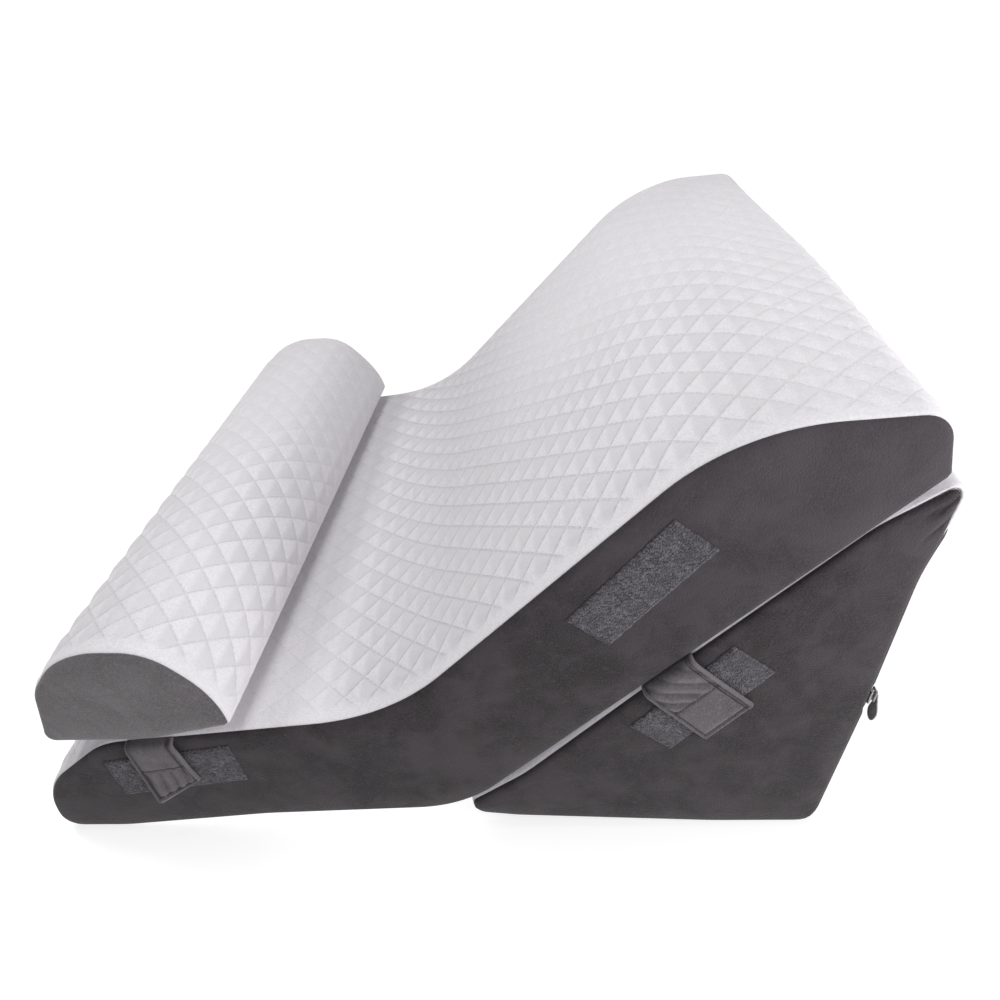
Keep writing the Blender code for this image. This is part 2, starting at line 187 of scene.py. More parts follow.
def rounded(rows: Rows) -> np.ndarray:
    """The outline through the rows as points, with an arc of its own radius at each corner.

    Args:
        rows: x, z and corner radius of each corner.

    Returns:
        Points of the outline, one row each.
    """
    corners = [np.array(row[:2], float) for row in rows]
    points = [corners[0]]
    for before, corner, after, row in zip(corners, corners[1:], corners[2:], rows[1:]):
        back = unit(before - corner)
        ahead = unit(after - corner)
        half = math.acos(float(np.clip(back @ ahead, -1.0, 1.0))) / 2
        centre = corner + unit(back + ahead) * row[2] / math.sin(half)
        arm = corner + back * row[2] / math.tan(half) - centre
        turn = math.pi - 2 * half
        sign = math.copysign(1.0, back[0] * ahead[1] - back[1] * ahead[0])
        steps = max(2, math.ceil(turn / ARC_STEP))
        for step in range(steps + 1):
            angle = -sign * turn * step / steps
            cosine, sine = math.cos(angle), math.sin(angle)
            spoke = (arm[0] * cosine - arm[1] * sine, arm[0] * sine + arm[1] * cosine)
            points.append(centre + np.array(spoke))
    points.append(corners[-1])
    return np.array(points)


def distances(path: np.ndarray) -> np.ndarray:
    """How far along the path each of its points lies."""
    return np.concatenate(([0.0], np.cumsum(np.linalg.norm(np.diff(path, axis=0), axis=1))))


def points_at(path: np.ndarray, where: np.ndarray) -> np.ndarray:
    """The path's points at the given distances along it."""
    along = distances(path)
    return np.stack([np.interp(where, along, path[:, k]) for k in range(path.shape[1])], axis=-1)


def ring_normals(ring: np.ndarray) -> np.ndarray:
    """Unit normals that point out of a closed ring which runs along its top first."""
    edges = np.roll(ring, -1, axis=0) - ring
    edges /= np.maximum(np.linalg.norm(edges, axis=1, keepdims=True), 1e-9)
    ahead = edges + np.roll(edges, 1, axis=0)
    normals = np.stack((-ahead[:, 1], ahead[:, 0]), axis=-1)
    return normals / np.linalg.norm(normals, axis=1, keepdims=True)


def distance_inside(ring: np.ndarray, points: np.ndarray) -> np.ndarray:
    """How far each point lies from a closed ring's line.

    Args:
        ring: points of the ring, mm.
        points: the points to measure, mm, one row each.

    Returns:
        One distance for each point.
    """
    starts = ring
    spans = np.roll(ring, -1, axis=0) - ring
    lengths = np.maximum((spans**2).sum(axis=1), 1e-12)
    found = []
    for chunk in np.array_split(points, max(1, len(points) // 2000)):
        offset = chunk[:, None, :] - starts[None]
        share = np.clip((offset * spans[None]).sum(axis=2) / lengths, 0.0, 1.0)
        gap = offset - share[..., None] * spans[None]
        found.append(np.sqrt((gap**2).sum(axis=2)).min(axis=1))
    return np.concatenate(found)


def diamond(u: np.ndarray, v: np.ndarray) -> np.ndarray:
    """0 on a quilted diamond's stitched edges and 1 at its middle, with u and v in half diamonds."""
    first = (u + v) / 2
    second = (u - v) / 2
    return 2 * np.minimum(abs(first - np.round(first)), abs(second - np.round(second)))


class Ripples:
    """Slow unevenness of a cloth, as a sum of waves with fixed random directions."""

    def __init__(self, seed: int, waves: int, shortest: float, longest: float) -> None:
        """Draws the waves.

        Args:
            seed: seed of the random draw.
            waves: how many waves there are.
            shortest: shortest wavelength, mm.
            longest: longest wavelength, mm.
        """
        draw = np.random.default_rng(seed)
        lengths = np.exp(draw.uniform(math.log(shortest), math.log(longest), waves))
        angles = draw.uniform(0.0, math.pi, waves)
        headings = np.stack((np.cos(angles), np.sin(angles)), axis=-1)
        self.waves = headings * 2 * math.pi / lengths[:, None]
        self.phases = draw.uniform(0.0, 2 * math.pi, waves)

    def at(self, points: np.ndarray) -> np.ndarray:
        """Values of about -1 to 1 at the points."""
        total = np.sin(points @ self.waves.T + self.phases).sum(axis=-1)
        return total / math.sqrt(2 * len(self.phases))


class Outline:
    """A cushion's sewn edge: its top run, its base run, and the quilt's steps along the top run."""

    def __init__(self, top: Rows, base: Rows, tuck: float = 0.0) -> None:
        """Rounds both runs.

        Args:
            top: corners of the top run.
            base: corners of the base run.
            tuck: how much further in the side panels are sewn at the tip, mm.
        """
        self.base_rows = base
        self.tuck = tuck
        self.top = rounded(top)
        self.base = rounded(base)
        self.length = float(distances(self.top)[-1])
        self.base_length = float(distances(self.base)[-1])
        self.cells = round(self.length / HALF_DIAMOND)
        self.step = self.length / self.cells

    def base_stations(self, count: int) -> np.ndarray:
        """Distances along the base run, moved onto its tight corners."""
        stations = np.linspace(0.0, self.base_length, count)
        along = distances(self.base)
        last = 0
        for x, z, radius in self.base_rows[1:-1]:
            if radius > KEPT_CORNER:
                continue
            mark = along[np.argmin(np.linalg.norm(self.base - (x, z), axis=1))]
            last = min(range(last + 1, count - 1), key=lambda k: abs(stations[k] - mark))
            stations[last] = mark
        return stations

    def ring(self, upper: int, lower: int) -> np.ndarray:
        """The closed ring, with so many points on its top run and so many on its base run."""
        top = points_at(self.top, np.linspace(0.0, self.length, upper))
        base = points_at(self.base, self.base_stations(lower))
        return np.concatenate((top, base[-2:0:-1]))

    def seam_ring(self) -> np.ndarray:
        """The line along which the side panels are sewn in."""
        count = round(self.length / PANEL_STEP)
        ring = self.ring(count, count)
        normals = ring_normals(ring)
        height = ring[:, 1]
        back = smooth_step((height - 325.0) / 30.0) * smooth_step(normals[:, 0] / 0.6)
        tip = np.maximum(back, smooth_step((height - 345.0) / 35.0))
        return ring - normals * (SEAM_INSET + self.tuck * tip)[:, None]


class Graph:
    """A short way to add and join the nodes of one tree."""

    def __init__(self, tree: bpy.types.NodeTree) -> None:
        """Takes the tree to work on."""
        self.tree = tree

    def put(self, socket: bpy.types.NodeSocket, value: object) -> None:
        """Joins a socket to an input, or sets the input's own value."""
        if isinstance(value, bpy.types.NodeSocket):
            self.tree.links.new(value, socket)
        elif value is not None:
            socket.default_value = value

    def node(self, kind: str, inputs: dict | None = None, **settings: object) -> bpy.types.Node:
        """Adds a node.

        Args:
            kind: Blender's name of the node type.
            inputs: a socket or value for each input, by its name or number.
            settings: the node's own properties.

        Returns:
            The new node.
        """
        made = self.tree.nodes.new(kind)
        for key, value in settings.items():
            setattr(made, key, value)
        for key, value in (inputs or {}).items():
            self.put(made.inputs[key], value)
        return made

    def math(self, operation: str, *values: object) -> bpy.types.NodeSocket:
        """A Math node on one to three values."""
        return self.node("ShaderNodeMath", dict(enumerate(values)), operation=operation).outputs[0]

    def ramp(self, value: object, low: float, high: float) -> bpy.types.NodeSocket:
        """A soft ramp from 0 at low to 1 at high."""
        inputs = {"Value": value, "From Min": low, "From Max": high}
        return self.node("ShaderNodeMapRange", inputs, interpolation_type="SMOOTHSTEP").outputs[0]

    def mix(self, factor: object, first: object, second: object) -> bpy.types.NodeSocket:
        """One colour where factor is 0 and the other where it is 1."""
        made = self.node("ShaderNodeMix", {0: factor, 6: first, 7: second}, data_type="RGBA")
        return made.outputs[2]

    def part(self, value: object, low: float, high: float, share: float) -> bpy.types.NodeSocket:
        """A share of the soft ramp from low to high."""
        return self.math("MULTIPLY", self.ramp(value, low, high), share)

    def noise(
        self, place: object, scale: float, detail: float = 2.0, bend: float = 0.0
    ) -> bpy.types.NodeSocket:
        """Soft noise with so many features to the metre."""
        inputs = {"Vector": place, "Scale": scale, "Detail": detail, "Distortion": bend}
        return self.node("ShaderNodeTexNoise", inputs).outputs[0]


def rgba(colour: Colour, share: float = 1.0) -> tuple[float, float, float, float]:
    """The colour with full alpha, made lighter or darker."""
    return (*(min(1.0, part * share) for part in colour), 1.0)


@dataclass(frozen=True)
class Finish:
    """A surface of one kind. Each kind draws its own colour and relief."""

    slot: str
    colour: Colour
    roughness: float
    sheen: float = 0.0
    metallic: float = 0.0

    def material(self) -> bpy.types.Material:
        """The finish as a Blender material, made on its first use."""
        name = f"{self.slot}_{type(self).__name__.lower()}"
        made = bpy.data.materials.get(name)
        if made:
            return made
        made = bpy.data.materials.new(name)
        made.use_nodes = True
        graph = Graph(made.node_tree)
        shader = made.node_tree.nodes["Principled BSDF"]
        shader.inputs["Roughness"].default_value = self.roughness
        shader.inputs["Metallic"].default_value = self.metallic
        shader.inputs["Sheen Weight"].default_value = self.sheen
        shader.inputs["Sheen Roughness"].default_value = 0.45
        shader.inputs["Specular IOR Level"].default_value = 0.5 if self.metallic else 0.2
        place = graph.node("ShaderNodeTexCoord").outputs["Object"]
        colour, height, depth = self.draw(graph, place)
        graph.put(shader.inputs["Base Color"], colour)
        bump = graph.node("ShaderNodeBump", {"Strength": 1.0, "Distance": depth, "Height": height})
        graph.put(shader.inputs["Normal"], bump.outputs[0])
        made.diffuse_color = rgba(self.colour)
        return made

    def tint(self, graph: Graph, tone: object, factor: object, lightness: float) -> bpy.types.NodeSocket:
        """The tone, moved by the factor towards the finish's own colour at another lightness."""
        return graph.mix(factor, tone, rgba(self.colour, lightness))

    def draw(self, graph: Graph, place: object) -> tuple[object, object, float]:
        """Colour, height from 0 to 1, and the depth in metres that the height stands for."""
        raise NotImplementedError


@dataclass(frozen=True)
class QuiltedKnit(Finish):
    """White knit with stitched lines in the furrows of its diamonds, read from the piece's quilt map, with
    painted shade in the furrows and on one half of each diamond.
    """

    DEPTH = 0.0009
    # The stitched line's darkening is painted shade of its furrow.
    LINE = (0.006, 0.055)  # where a stitched line is darkest and where it ends, in diamonds
    STITCHES = 7.2  # stitches along a diamond's edge

    def draw(self, graph: Graph, place: object) -> tuple[object, object, float]:
        """Fine loops of knit all over and, where the piece is quilted, a stitched line darkened by painted
        furrow shade, and painted shade on one half of each diamond.
        """
        chart = graph.node("ShaderNodeUVMap", uv_map="quilt").outputs[0]
        parts = graph.node("ShaderNodeSeparateXYZ", {0: chart})
        u, v = parts.outputs[0], parts.outputs[1]
        quilted = graph.node("ShaderNodeAttribute", attribute_name="quilted").outputs["Fac"]
        line: object = 0.0
        first = graph.math("MULTIPLY", graph.math("ADD", u, v), 0.5)
        second = graph.math("MULTIPLY", graph.math("SUBTRACT", u, v), 0.5)
        for across, along in ((first, second), (second, first)):
            off = graph.math("PINGPONG", across, 0.5)
            thin = graph.math("SUBTRACT", 1.0, graph.ramp(off, *self.LINE))
            dash = graph.math("PINGPONG", graph.math("MULTIPLY", along, self.STITCHES), 1.0)
            dash = graph.math("MULTIPLY_ADD", graph.ramp(dash, 0.15, 0.5), 0.45, 0.55)
            line = graph.math("MAXIMUM", line, graph.math("MULTIPLY", thin, dash))
        line = graph.math("MULTIPLY", line, quilted)
        # Painted shade: the half of each diamond on its +u side is darkened, as if the light came from the toe
        # side.
        lean = graph.math("ADD", graph.math("FRACT", first), graph.math("FRACT", second))
        lean = graph.math("MULTIPLY", graph.ramp(lean, 0.8, 1.2), quilted)
        loops = graph.noise(place, 620.0, 1.0)
        ribs = graph.noise(place, 190.0, 2.0)
        cloud = graph.noise(place, 14.0, 3.0)
        cloth = graph.math("MULTIPLY", loops, 0.7)
        cloth = graph.math("ADD", cloth, graph.math("MULTIPLY", ribs, 0.3))
        low, high = rgba(self.colour, 0.93), rgba(self.colour, 1.05)
        tone = graph.mix(graph.ramp(cloth, 0.36, 0.64), low, high)
        tone = self.tint(graph, tone, graph.part(cloud, 0.3, 0.7, 0.35), 0.95)
        # Painted shade on one half of each diamond.
        tone = self.tint(graph, tone, graph.math("MULTIPLY", lean, 0.8), 0.82)
        # Painted shade: the stitched lines are darkened in colour as the shade of their furrows, broken into
        # stitch dashes.
        tone = self.tint(graph, tone, graph.math("MULTIPLY", line, 0.18), 0.55)
        raised = graph.math("MULTIPLY", cloth, 0.55)
        height = graph.math("SUBTRACT", raised, graph.math("MULTIPLY", line, 0.7))
        return tone, height, self.DEPTH


@dataclass(frozen=True)
class Velour(Finish):
    """Short pile that lies this way and that, so its tone is clouded.

    The cloud is how far the tone wanders, and the top share is a painted highlight: how much lighter the tone
    is made towards the top.
    """

    DEPTH = 0.0014
    # Heights, in metres, over which the painted highlight towards the top sets in.
    PAINTED_TOP_LIGHT_HEIGHTS = (0.26, 0.42)  # m

    cloud: float = 0.3
    painted_top_light: float = 0.0

    def draw(self, graph: Graph, place: object) -> tuple[object, object, float]:
        """Clouds of brushed pile over a fine grain, with painted highlights and painted shade from the piece's
        point attribute.
        """
        broad = graph.noise(place, 9.0, 4.0, 1.2)
        brushed = graph.noise(place, 38.0, 4.0, 0.8)
        grain = graph.noise(place, 700.0, 2.0)
        lint = graph.noise(place, 240.0, 1.0)
        cloud = graph.math("MULTIPLY", broad, 0.55)
        cloud = graph.math("ADD", cloud, graph.math("MULTIPLY", brushed, 0.45))
        low, high = rgba(self.colour, 1.0 - self.cloud), rgba(self.colour, 1.0 + self.cloud)
        tone = graph.mix(graph.ramp(cloud, 0.36, 0.64), low, high)
        tone = self.tint(graph, tone, graph.part(grain, 0.35, 0.7, 0.55), 1.55)
        tone = self.tint(graph, tone, graph.part(lint, 0.6, 0.75, 0.35), 1.8)
        # Painted highlight: the tone is made lighter towards the top.
        if self.painted_top_light:
            height = graph.node("ShaderNodeSeparateXYZ", {0: place}).outputs[2]
            tone = self.tint(graph, tone, graph.part(height, *self.PAINTED_TOP_LIGHT_HEIGHTS, self.painted_top_light), 2.4)
        # Painted light and shade from the piece's point attribute: a painted highlight where it is above 0,
        # painted shade where it is below.
        painted_light_and_shade = graph.node("ShaderNodeAttribute", attribute_name="painted_light_and_shade").outputs["Fac"]
        light = graph.part(painted_light_and_shade, 0.0, 1.0, 0.7)
        dark = graph.part(graph.math("MULTIPLY", painted_light_and_shade, -1.0), 0.0, 1.0, 0.8)
        tone = self.tint(graph, tone, light, 1.9)
        tone = self.tint(graph, tone, dark, 0.2)
        height = graph.math("MULTIPLY", grain, 0.5)
        height = graph.math("ADD", height, graph.math("MULTIPLY", brushed, 0.5))
        return tone, height, self.DEPTH


@dataclass(frozen=True)
class LoopPile(Finish):
    """Heathered loop tape, with light and dark loops."""

    DEPTH = 0.0011

    def draw(self, graph: Graph, place: object) -> tuple[object, object, float]:
        """Round loops, some of them light and some dark."""
        cells = graph.node("ShaderNodeTexVoronoi", {"Vector": place, "Scale": 600.0})
        tint = graph.node("ShaderNodeSeparateColor", {0: cells.outputs["Color"]}).outputs[0]
        tone = graph.mix(graph.ramp(tint, 0.0, 1.0), rgba(self.colour, 0.5), rgba(self.colour, 1.5))
        mat = graph.noise(place, 120.0, 4.0)
        tone = self.tint(graph, tone, graph.part(mat, 0.35, 0.65, 0.6), 0.7)
        fleck = graph.noise(place, 330.0, 2.0)
        tone = self.tint(graph, tone, graph.part(fleck, 0.6, 0.72, 0.45), 2.0)
        sunk = graph.math("MULTIPLY", cells.outputs["Distance"], 1.2)
        return tone, graph.math("SUBTRACT", 1.0, sunk), self.DEPTH


@dataclass(frozen=True)
class WovenTape(Finish):
    """Black zip tape with narrow ribs."""

    DEPTH = 0.0003

    def draw(self, graph: Graph, place: object) -> tuple[object, object, float]:
        """Narrow ribs along the tape."""
        inputs = {"Vector": place, "Scale": 330.0, "Distortion": 0.6, "Detail": 1.0}
        ribs = graph.node("ShaderNodeTexWave", inputs, bands_direction="Z").outputs[1]
        grain = graph.noise(place, 900.0, 1.0)
        low, high = rgba(self.colour, 0.7), rgba(self.colour, 1.7)
        tone = graph.mix(graph.math("MULTIPLY", ribs, 0.6), low, high)
        return tone, graph.math("ADD", ribs, graph.math("MULTIPLY", grain, 0.4)), self.DEPTH


@dataclass(frozen=True)
class PlatedMetal(Finish):
    """Dark plated metal with a little wear."""

    DEPTH = 0.00006

    def draw(self, graph: Graph, place: object) -> tuple[object, object, float]:
        """Faint scratches and lighter rubbed places."""
        worn = graph.noise(place, 260.0, 4.0)
        tone = graph.mix(graph.ramp(worn, 0.4, 0.75), rgba(self.colour), rgba(self.colour, 1.9))
        return tone, graph.noise(place, 1500.0, 2.0), self.DEPTH


@dataclass(frozen=True)
class Thread(Finish):
    """Sewing thread with a twist."""

    DEPTH = 0.0001

    def draw(self, graph: Graph, place: object) -> tuple[object, object, float]:
        """A little twist along each stitch."""
        twist = graph.noise(place, 1600.0, 1.0)
        return graph.mix(twist, rgba(self.colour, 0.7), rgba(self.colour, 1.3)), twist, self.DEPTH


KNIT = QuiltedKnit("quilted_knit", (0.78, 0.76, 0.79), 0.85, 0.1)
# The charcoal velour gets a painted highlight towards its top.
CHARCOAL = Velour("charcoal_velour", (0.0395, 0.0343, 0.0382), 0.9, 0.15, cloud=0.4, painted_top_light=0.42)
GREY = Velour("grey_velour", (0.132, 0.123, 0.13), 0.9, 0.22, cloud=0.2)
LOOPS = LoopPile("loop_tape", (0.106, 0.1, 0.112), 0.95, 0.1)
TAB_CLOTH = Velour("tab_velour", (0.106, 0.097, 0.104), 0.9, 0.2, cloud=0.2)
ZIP_CLOTH = WovenTape("zip_cloth", (0.03, 0.03, 0.03), 0.8, 0.1)
ZIP_METAL = PlatedMetal("zip_metal", (0.25, 0.24, 0.24), 0.42, 0.0, 0.7)
TAB_THREAD = Thread("tab_velour", (0.035, 0.032, 0.034), 0.7)
TAPE_THREAD = Thread("loop_tape", (0.07, 0.07, 0.074), 0.7)
ZIP_TEETH = Thread("zip_cloth", (0.035, 0.035, 0.036), 0.35)


def linked(name: str, data: bpy.types.ID) -> bpy.types.Object:
    """A new object of the data, linked to the scene."""
    made = bpy.data.objects.new(name, data)
    bpy.context.scene.collection.objects.link(made)
    return made


def mesh_piece(
    name: str, points: np.ndarray, faces: list, finish: Finish, place: Matrix | None = None
) -> bpy.types.Object:
    """A smooth mesh object from points in mm of the pattern.

    Args:
        name: the piece's name.
        points: x, y and z of each vertex.
        faces: vertex numbers of each face.
        finish: its finish.
        place: where the piece goes, in metres, when it isn't already there.

    Returns:
        The new object, at the origin.
    """
    points = np.array(points, float)
    points[:, 0] -= MIDDLE
    mesh = bpy.data.meshes.new(name)
    mesh.from_pydata((points * MM).tolist(), [], faces)
    if place is not None:
        mesh.transform(place)
    mesh.shade_smooth()
    mesh.materials.append(finish.material())
    return linked(name, mesh)


def clean(piece: bpy.types.Object, sharp: float = 0.0) -> None:
    """Merges doubled points and turns the faces outwards.

    Args:
        piece: the mesh object.
        sharp: edges over this angle, in degrees, stay sharp; 0 leaves all smooth.
    """
    work = bmesh.new()
    work.from_mesh(piece.data)
    bmesh.ops.remove_doubles(work, verts=work.verts, dist=1e-6)
    bmesh.ops.dissolve_degenerate(work, edges=work.edges, dist=1e-7)
    bmesh.ops.recalc_face_normals(work, faces=work.faces)
    work.to_mesh(piece.data)
    work.free()
    piece.data.shade_smooth()
    if sharp:
        piece.data.set_sharp_from_angle(angle=math.radians(sharp))


def sheet_faces(rows: int, columns: int) -> list:
    """Faces of a closed sheet, whose inner grid of points is followed by its outer grid."""
    half = rows * columns
    faces = []
    for i in range(rows - 1):
        for j in range(columns - 1):
            a = i * columns + j
            quad = (a, a + 1, a + columns + 1, a + columns)
            faces += [quad, tuple(k + half for k in reversed(quad))]
    border = [(i, 0) for i in range(rows)] + [(rows - 1, j) for j in range(1, columns)]
    border += [(i, columns - 1) for i in range(rows - 2, -1, -1)] + [(0, j) for j in range(columns - 2, 0, -1)]
    for here, there in zip(border, border[1:] + border[:1]):
        a = here[0] * columns + here[1]
        b = there[0] * columns + there[1]
        faces.append((a, b, b + half, a + half))
    return faces


def sheet_piece(
    name: str,
    inner: np.ndarray,
    outer: np.ndarray,
    finish: Finish,
    place: Matrix | None = None,
    sharp: float = 0.0,
    painted_light_and_shade: np.ndarray | None = None,
) -> bpy.types.Object:
    """A closed sheet between two grids of points.

    Args:
        name: the piece's name.
        inner: grid of points on its inner face.
        outer: grid of points on its outer face.
        finish: its finish.
        place: where it goes, when it isn't already there.
        sharp: edges over this angle stay sharp.
        painted_light_and_shade: painted light and shade for each outer point: 1 where a highlight is painted
            and -1 where painted shade darkens a furrow.

    Returns:
        The new object.
    """
    rows, columns = inner.shape[:2]
    points = np.concatenate((inner.reshape(-1, 3), outer.reshape(-1, 3)))
    piece = mesh_piece(name, points, sheet_faces(rows, columns), finish, place)
    if painted_light_and_shade is not None:
        shade = piece.data.attributes.new("painted_light_and_shade", "FLOAT", "POINT")
        values = np.concatenate((np.zeros(rows * columns), painted_light_and_shade.ravel()))
        shade.data.foreach_set("value", values.astype(np.float32))
    clean(piece, sharp)
    return piece


def show(piece: bpy.types.Object, finish: Finish, *nodes: str) -> bpy.types.Object:
    """Lets the piece ride on the body and stand for its nodes, and reports it."""
    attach(piece, BODY)
    if nodes:
        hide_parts(*nodes)
    LOG.info("%s: %d faces", piece.name, len(piece.data.polygons))
    return piece


def on_side(flat: np.ndarray, out: np.ndarray, sign: int, half_width: float = SIDE) -> np.ndarray:
    """Points of the pattern's plane, set so far out from the near (-1) or far (1) side."""
    return np.stack((flat[..., 0], sign * (half_width + out), flat[..., 1]), axis=-1)


def grid_normals(grid: np.ndarray) -> np.ndarray:
    """Unit normals of a grid of points, across its rows and columns."""
    normals = np.cross(np.gradient(grid, axis=0), np.gradient(grid, axis=1))
    return normals / np.maximum(np.linalg.norm(normals, axis=2, keepdims=True), 1e-9)


class Bead(Enum):
    """What a line of Geometry Nodes is set with."""

    STITCH = "stitch"
    TOOTH = "tooth"


class BeadLine:
    """A Geometry Nodes tree that sets small solids along a line, such as stitches or zip teeth."""

    UNEVENNESS = 0.12
    INPUTS = (
        ("Spacing", "NodeSocketFloat"),
        ("Length", "NodeSocketFloat"),
        ("Width", "NodeSocketFloat"),
        ("Height", "NodeSocketFloat"),
        ("Unevenness", "NodeSocketFloat"),
        ("Seed", "NodeSocketInt"),
        ("Material", "NodeSocketMaterial"),
    )

    def __init__(self, kind: Bead) -> None:
        """Builds the tree for one kind of solid."""
        self.kind = kind
        self.tree = bpy.data.node_groups.new(f"{kind.value}_line", "GeometryNodeTree")
        self.tree.interface.new_socket("Line", in_out="INPUT", socket_type="NodeSocketGeometry")
        for name, socket in self.INPUTS:
            self.tree.interface.new_socket(name, in_out="INPUT", socket_type=socket)
        self.tree.interface.new_socket("Solids", in_out="OUTPUT", socket_type="NodeSocketGeometry")
        graph = Graph(self.tree)
        given = graph.node("NodeGroupInput").outputs
        curve = graph.node("GeometryNodeMeshToCurve", {"Mesh": given["Line"]}).outputs[0]
        spread = {"Curve": curve, "Length": given["Spacing"]}
        points = graph.node("GeometryNodeCurveToPoints", spread, mode="LENGTH")
        parts = {0: given["Width"], 1: given["Height"], 2: given["Length"]}
        size = graph.node("ShaderNodeCombineXYZ", parts)
        if kind is Bead.STITCH:
            solid = graph.node("GeometryNodeMeshUVSphere", {"Segments": 6, "Rings": 5, "Radius": 0.5})
            toward = {"Vector": points.outputs["Tangent"]}
            turn = graph.node("FunctionNodeAlignRotationToVector", toward, axis="Z").outputs[0]
        else:
            solid = graph.node("GeometryNodeMeshCube", {"Size": (1.0, 1.0, 1.0)})
            turn = None
        scaled = {"Geometry": solid.outputs[0], "Scale": size.outputs[0]}
        sized = graph.node("GeometryNodeTransform", scaled)
        low = graph.math("SUBTRACT", 1.0, given["Unevenness"])
        high = graph.math("ADD", 1.0, given["Unevenness"])
        scale = graph.node("FunctionNodeRandomValue", data_type="FLOAT")
        graph.put(scale.inputs[2], low)
        graph.put(scale.inputs[3], high)
        graph.put(scale.inputs["Seed"], given["Seed"])
        placed = graph.node(
            "GeometryNodeInstanceOnPoints",
            {
                "Points": points.outputs["Points"],
                "Instance": sized.outputs[0],
                "Rotation": turn,
                "Scale": scale.outputs[1],
            },
        )
        real = graph.node("GeometryNodeRealizeInstances", {"Geometry": placed.outputs[0]})
        coat = {"Geometry": real.outputs[0], "Material": given["Material"]}
        dressed = graph.node("GeometryNodeSetMaterial", coat)
        graph.node("NodeGroupOutput", {0: dressed.outputs[0]})

    def along(
        self,
        name: str,
        lines: list[np.ndarray],
        finish: Finish,
        spacing: float,
        size: tuple[float, float, float],
        seed: int,
    ) -> bpy.types.Object:
        """Sets the solids along lines.

        Args:
            name: the piece's name.
            lines: runs of points in mm of the pattern.
            finish: the solids' finish.
            spacing: distance from one to the next, mm.
            size: width, height and length of one, mm.
            seed: seed of their unevenness.

        Returns:
            One plain mesh object with all of them.
        """
        points = (np.concatenate(lines) - (MIDDLE, 0.0, 0.0)) * MM
        edges, first = [], 0
        for line in lines:
            edges += [(first + k, first + k + 1) for k in range(len(line) - 1)]
            first += len(line)
        mesh = bpy.data.meshes.new(f"{name}_line")
        mesh.from_pydata(points.tolist(), edges, [])
        guide = linked(f"{name}_line", mesh)
        modifier = guide.modifiers.new("solids", "NODES")
        modifier.node_group = self.tree
        width, height, length = (part * MM for part in size)
        values = {
            "Spacing": spacing * MM,
            "Length": length,
            "Width": width,
            "Height": height,
            "Unevenness": self.UNEVENNESS,
            "Seed": seed,
            "Material": finish.material(),
        }
        for item in self.tree.interface.items_tree:
            if item.in_out == "INPUT" and item.name in values:
                modifier[item.identifier] = values[item.name]
        graph = bpy.context.evaluated_depsgraph_get()
        made = bpy.data.meshes.new_from_object(guide.evaluated_get(graph))
        made.name = name
        if self.kind is Bead.STITCH:
            made.shade_smooth()
        bpy.data.objects.remove(guide, do_unlink=True)
        return linked(name, made)


@dataclass(frozen=True)
class Swell:
    """How far a simulated cover moved, looked up by place."""

    tree: KDTree
    moves: np.ndarray
    neighbours: int = 6

    def at(self, points: np.ndarray) -> np.ndarray:
        """The mean move of the nearest simulated points, in metres, for each point in metres."""
        found = np.zeros((len(points), 3))
        for k, point in enumerate(points):
            near = self.tree.find_n(Vector(point), self.neighbours)
            weights = np.array([1.0 / (gap + 0.002) for _, _, gap in near])
            found[k] = weights @ self.moves[[index for _, index, _ in near]] / weights.sum()
        return found


